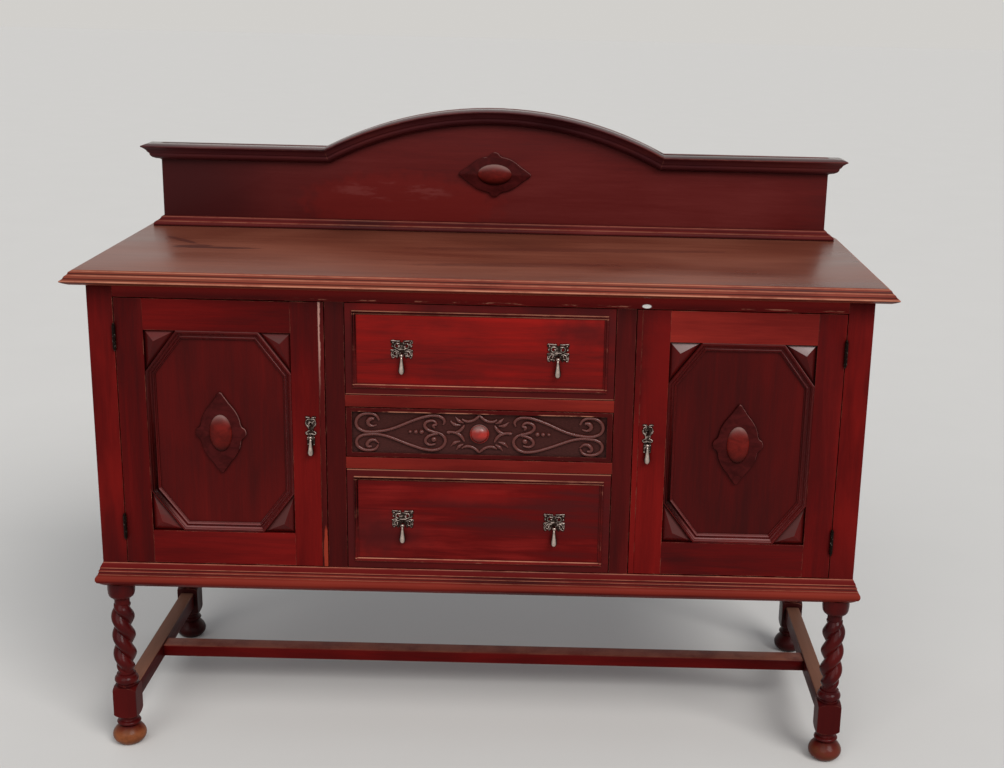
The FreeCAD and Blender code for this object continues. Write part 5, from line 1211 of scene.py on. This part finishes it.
    def pellet(self, size):
        crown = dome(size, size, min(size, 0.0042), 6, 0.95)
        return grown("pellet", [(size, size, -0.0011), (size, size, 0), *crown], 20)

    def boss(self, ground, middle):
        """Round boss in a thin collar."""
        radius = 0.0184
        inner = radius * 0.89
        steps = [(1.0, 0), (1.0, 0.0030), (0.97, 0.0042), (0.91, 0.0040), (0.89, 0.0048)]
        rings = [(radius * part, radius * part, height) for part, height in steps]
        crown = dome(inner, inner, 0.0100, 12, 0.97, 0.0048)
        made = grown("carved_drawer_boss_turned", rings + crown, 56)
        seated(made, (0, ground, middle), FORWARD)
        dress(made, "red_boss")
        hand_in(made, "carved_drawer", "carved_drawer_boss")


class SIDEBOARD_OT_plates(bpy.types.Operator):
    """Models the pierced plates of the drawers and the escutcheons of the doors"""

    bl_idname = "sideboard.plates"
    bl_label = "Brass plates"

    # Millimetres from the middle of the plate; outlines are the right half, top to bottom,
    # and holes, curls and studs are on both sides
    drawer_outline = [
        (0, 15), (2.6, 15), (3.2, 19.4), (9.5, 18.6), (12, 19.4), (20, 19.4), (20.8, 16.5),
        (20.4, 13.2), (17, 12.4), (19.5, 9.5), (20, 6.5), (16.5, 4.6), (14.6, 3.2), (15.4, 0.6),
        (20.8, 0.8), (20.8, -3), (16.6, -3.6), (18.6, -8), (20, -11), (18.4, -16), (14, -14.5),
        (11, -12), (9.4, -16.5), (6.2, -13), (4.6, -8.4), (3.4, -6.2), (0, -6),
    ]
    drawer_holes = [
        [(5.4, 16.8), (8.6, 16.4), (8.6, 13.6), (5.4, 13.8)],
        [(11.4, 17.2), (17.8, 17.2), (17.8, 14.6), (11.4, 14.6)],
        [(5, 10.8), (9.4, 11.6), (12, 8.6), (9.8, 5.2), (5.6, 5.2)],
        [(13.4, 9.8), (16.6, 9.4), (16.4, 7), (13.6, 6.6)],
        [(7.4, -4.6), (11.6, -3.6), (14.2, -6.8), (11.4, -9.6), (8, -8.6)],
        [(14.6, -10.2), (17.4, -10.4), (16.8, -13.2), (14.4, -12.6)],
    ]
    drawer_curls = [
        [(3.6, 17.6), (7.5, 17.4), (12, 18.0), (19.4, 18.2)],
        [(10.6, 0.4), (14.6, 1.2), (20, 0.2)],
        [(18.4, -3.4), (19.2, -8), (17.8, -14.2)],
        [(4.2, 12.4), (9.5, 13), (13, 9), (11.6, 4.6), (7.2, 3.6), (5.2, 6.4), (7.4, 8.4)],
        [(5.4, -2.4), (10.6, -1.6), (15.2, -4.4), (15.6, -9.2), (12, -11), (9.8, -8.4),
         (11.6, -6.6)],
    ]
    drawer_studs = [
        (16.5, 14.6), (7.4, 12.2), (17.4, 7.4), (5.2, 7.6), (16.8, -1.2), (9.8, -5.2), (18, -9.4),
        (16, -14),
    ]
    door_studs = [(8.2, 27.8), (9.2, 16.4), (8.8, -3), (5.6, -12), (5.2, -25.4)]
    door_outline = [
        (0, 26.2), (2.4, 26.2), (3.2, 29.6), (9.4, 29.6), (10.8, 27), (8.4, 25), (6, 24.2),
        (8.8, 20.6), (10.2, 15.4), (8.6, 10), (5.6, 6.2), (4.6, 1.6), (8.6, 0.2), (10.8, -2.4),
        (9.4, -5.6), (6.2, -7.2), (7.4, -12.4), (7.2, -20), (6.8, -26), (3.6, -28.4), (2.6, -29.8),
        (0, -28.4),
    ]
    door_holes = [
        [(4.6, 28), (7.8, 28), (7.8, 26.4), (4.6, 26.4)],
        [(5.4, -1.6), (8, -2), (7.4, -4.6), (5.2, -4.4)],
    ]
    keyhole = [(0, 17.3), (1.6, 16.7), (2.3, 15), (1.2, 13), (1.2, 8.6)]
    door_curls = [
        [(1.6, 24.6), (6.6, 23.2), (9, 18.2), (8.6, 13.2), (5.6, 9.8), (3.6, 5.4)],
        [(2, 27.6), (5.4, 27.2), (8.6, 28), (9.6, 26.8)],
        [(2.6, 1.6), (6.6, -0.6), (9.2, -2.8), (7.6, -5.6), (4.6, -5.4)],
    ]

    def execute(self, context):
        for drawer in ("top_drawer", "bottom_drawer"):
            node = drawer + "_plates"
            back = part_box(node)[1].y
            middle = middle_of(drawer + "_front").z
            pieces = []
            for x in (-PLATE_ASIDE, PLATE_ASIDE):
                made = self.plate(
                    self.drawer_outline, self.drawer_holes, self.drawer_curls, self.drawer_studs,
                    (13.4, 1.4))
                pieces.append(seated(made, (x, back, middle)))
                pieces.append(self.ears(x, back, drawer + "_left_drop"))
            made = joined(node + "_pierced", pieces)
            hand_in(made, drawer, node)
        for door in ("left_door", "right_door"):
            node = door + "_escutcheon"
            x, _, middle = middle_of(node)
            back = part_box(node)[1].y
            made = self.plate(
                self.door_outline, self.door_holes, self.door_curls, self.door_studs, (8.6, -5),
                [both_halves(self.keyhole)])
            seated(made, (x, back, middle))
            made = joined(node + "_cast", [made, self.ears(x, back, door + "_drop")])
            hand_in(made, door, node)
        return {"FINISHED"}

    def plate(self, outline, holes, curls, studs, bar, cuts=()):
        """Pierced plate with raised curls and studs, and a bar over its drop."""
        def on_both_sides(lines):
            return [[(side * x / 1000, z / 1000) for x, z in line] for line in lines for side in (-1, 1)]

        thickness = sizes().plate_thickness
        sheet = sheet_cut("plate", both_halves(outline), [*cuts, *on_both_sides(holes)], thickness)
        half, z = bar[0] / 2000, bar[1] / 1000
        raised = [strand("bar", [(x, -thickness, z) for x in (-half, 0, half)], 0.0011)]
        for (x, z), in on_both_sides([stud] for stud in studs):
            stud = turned("stud", bulge((0.0015, 0), (0.0012, 0.0010), (0.0003, 0.0014), 4), 12)
            raised.append(seated(stud, (x, 0.0002 - thickness, z), FORWARD))
        for line in on_both_sides(curls):
            points = [(x, -thickness, z) for x, z in line]
            raised.append(strand("curl", points, 0.0010, [0.7, 1.0, 1.1, 1.0, 0.9, 0.9, 0.7]))
        for piece in raised:
            dress(piece, "antique_brass")
        return joined("plate", [dress(sheet, "tarnished_brass"), *raised])

    def ears(self, x, back, drop):
        """Two ears and the pin between them that carries the drop."""
        front = back - sizes().plate_thickness
        axis = front - 0.007
        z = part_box(drop)[1].z - PIN_BELOW_TOP
        pieces = []
        for aside in (-0.0026, 0.0026):
            clear_selection()
            bpy.ops.mesh.primitive_cube_add(
                size=1, location=(x + aside, (axis - 0.0018 + front) / 2, z),
                scale=(0.0014, front - axis + 0.0018, 0.0048))
            ear = settle(bpy.context.object)
            pieces.append(apply_modifier(ear, "BEVEL", width=0.0004, segments=2))
        pin = turned(
            "pin", [(0.0007, -0.0036), (0.0009, -0.0034), (0.0009, 0.0034), (0.0007, 0.0036)], 16)
        pieces.append(seated(pin, (x, axis, z), SIDEWAYS))
        return dress(joined("ears", pieces), "antique_brass")


class SIDEBOARD_OT_drops(bpy.types.Operator):
    """Models the teardrop pull and hangs one on each plate"""

    bl_idname = "sideboard.drops"
    bl_label = "Drop pulls"

    # Radius and height from the pin
    profile = [
        (0.0006, -0.0370), (0.0020, -0.0366), (0.0036, -0.0355), (0.0051, -0.0338), (0.0060, -0.0315),
        (0.00625, -0.0292), (0.0061, -0.0268), (0.0056, -0.0240), (0.0049, -0.0205), (0.0041, -0.0168),
        (0.0034, -0.0130), (0.0028, -0.0094), (0.0024, -0.0074), (0.0027, -0.0064), (0.0027, -0.0056),
        (0.0020, -0.0044), (0.0015, -0.0020),
    ]

    def execute(self, context):
        tear = turned("tear", self.profile, 28)
        eye = turned(
            "eye", [(0.0022, -0.0013), (0.0024, -0.0010), (0.0024, 0.0010), (0.0022, 0.0013)], 24)
        model = dress(joined("drop", [tear, seated(eye, turn=SIDEWAYS)]), "rubbed_brass")
        for node in DROPS:
            x, y, _ = middle_of(node)
            place = (x, y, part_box(node)[1].z - PIN_BELOW_TOP)
            made = seated(copied(model, node + "_cast"), place)
            hand_in(made, node, node)
        bpy.data.objects.remove(model)
        return {"FINISHED"}


class SIDEBOARD_OT_stage(bpy.types.Operator):
    """Sets the pale floor, the soft light and the camera"""

    bl_idname = "sideboard.stage"
    bl_label = "Stage"

    def execute(self, context):
        context.scene.view_settings.view_transform = "Standard"
        self.floor()
        self.light(context.scene)
        self.camera(context.scene)
        return {"FINISHED"}

    def floor(self):
        clear_selection()
        bpy.ops.mesh.primitive_plane_add(size=80, location=(0, 0, 0))
        floor = bpy.context.object
        floor.name = "floor"
        finish = Finish("pale_floor")
        cloud = finish.noise(finish.place(), 3.0, 5, 0.6)
        tone = finish.mix(cloud, dimmed(tint("floor"), 0.96), tint("floor"))
        finish.close(tone, 0.9, gloss=0.1)
        dress(floor, "pale_floor")

    def light(self, scene):
        """Soft sky for all but the camera and reflections, which see the horizon, and two suns."""
        world = bpy.data.worlds.new("soft_light")
        scene.world = world
        world.use_nodes = True
        nodes, links = world.node_tree.nodes, world.node_tree.links
        mixed = nodes.new("ShaderNodeMix")
        mixed.data_type = "RGBA"
        rays = nodes.new("ShaderNodeLightPath")
        total = rays.outputs["Is Camera Ray"]
        for name in ("Is Glossy Ray", "Is Transmission Ray"):
            adding = nodes.new("ShaderNodeMath")
            adding.use_clamp = True
            links.new(total, adding.inputs[0])
            links.new(rays.outputs[name], adding.inputs[1])
            total = adding.outputs["Value"]
        links.new(total, mixed.inputs[0])
        mixed.inputs[MIX_FIRST].default_value = (*dimmed(tint("sky"), 0.46), 1)
        mixed.inputs[MIX_SECOND].default_value = (*tint("horizon"), 1)
        links.new(mixed.outputs[MIX_RESULT], nodes["Background"].inputs["Color"])
        for name, strength, width, turn in (
                ("key", 2.05, 30, (49, 0, 36)), ("fill", 1.0, 45, (52, 0, -18))):
            bpy.ops.object.light_add(type="SUN", rotation=tuple(map(math.radians, turn)))
            lamp = bpy.context.object
            lamp.name = name
            lamp.data.energy = strength
            lamp.data.angle = math.radians(width)

    def camera(self, scene):
        """Camera fitted to the corners, mouldings and legs of the photographed sideboard."""
        bpy.ops.object.camera_add(location=(0.1454, -2.8761, 1.4889))
        camera = bpy.context.object
        camera.name = "camera"
        camera.data.sensor_width = 36
        camera.data.lens = 52.15
        camera.data.shift_x = -0.0550
        camera.data.shift_y = 0.0032
        camera.data.clip_end = 200
        pan, tilt, roll, level = (0, 0, 0.0003), (-0.2692, 0, 0), (0, -0.0235, 0), (math.pi / 2, 0, 0)
        first, second, third, last = (Euler(turn).to_matrix() for turn in (pan, tilt, roll, level))
        camera.rotation_euler = ((first @ second) @ (third @ last)).to_euler()
        scene.camera = camera


class SIDEBOARD_PT_pieces(bpy.types.Panel):
    """Lists the pieces and their sizes and colours"""

    bl_idname = "SIDEBOARD_PT_pieces"
    bl_label = "Sideboard"
    bl_space_type = "VIEW_3D"
    bl_region_type = "UI"
    bl_category = "Sideboard"

    def draw(self, context):
        for operator in OPERATORS:
            self.layout.operator(operator.bl_idname)
        for group in (context.scene.sideboard_sizes, context.scene.sideboard_colours):
            box = self.layout.box()
            for name in group.__annotations__:
                box.prop(group, name)


OPERATORS = (
    SIDEBOARD_OT_boards, SIDEBOARD_OT_legs, SIDEBOARD_OT_cartouches, SIDEBOARD_OT_carving,
    SIDEBOARD_OT_plates, SIDEBOARD_OT_drops, SIDEBOARD_OT_stage,
)
CLASSES = (SideboardSizes, SideboardColours, *OPERATORS, SIDEBOARD_PT_pieces)


def register():
    for item in CLASSES:
        bpy.utils.register_class(item)
    bpy.types.Scene.sideboard_sizes = bpy.props.PointerProperty(type=SideboardSizes)
    bpy.types.Scene.sideboard_colours = bpy.props.PointerProperty(type=SideboardColours)


def unregister():
    del bpy.types.Scene.sideboard_colours
    del bpy.types.Scene.sideboard_sizes
    for item in reversed(CLASSES):
        bpy.utils.unregister_class(item)


def main():
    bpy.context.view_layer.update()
    register()
    for operator in OPERATORS:
        group, name = operator.bl_idname.split(".")
        getattr(getattr(bpy.ops, group), name)()


if __name__ == "__main__":
    main()
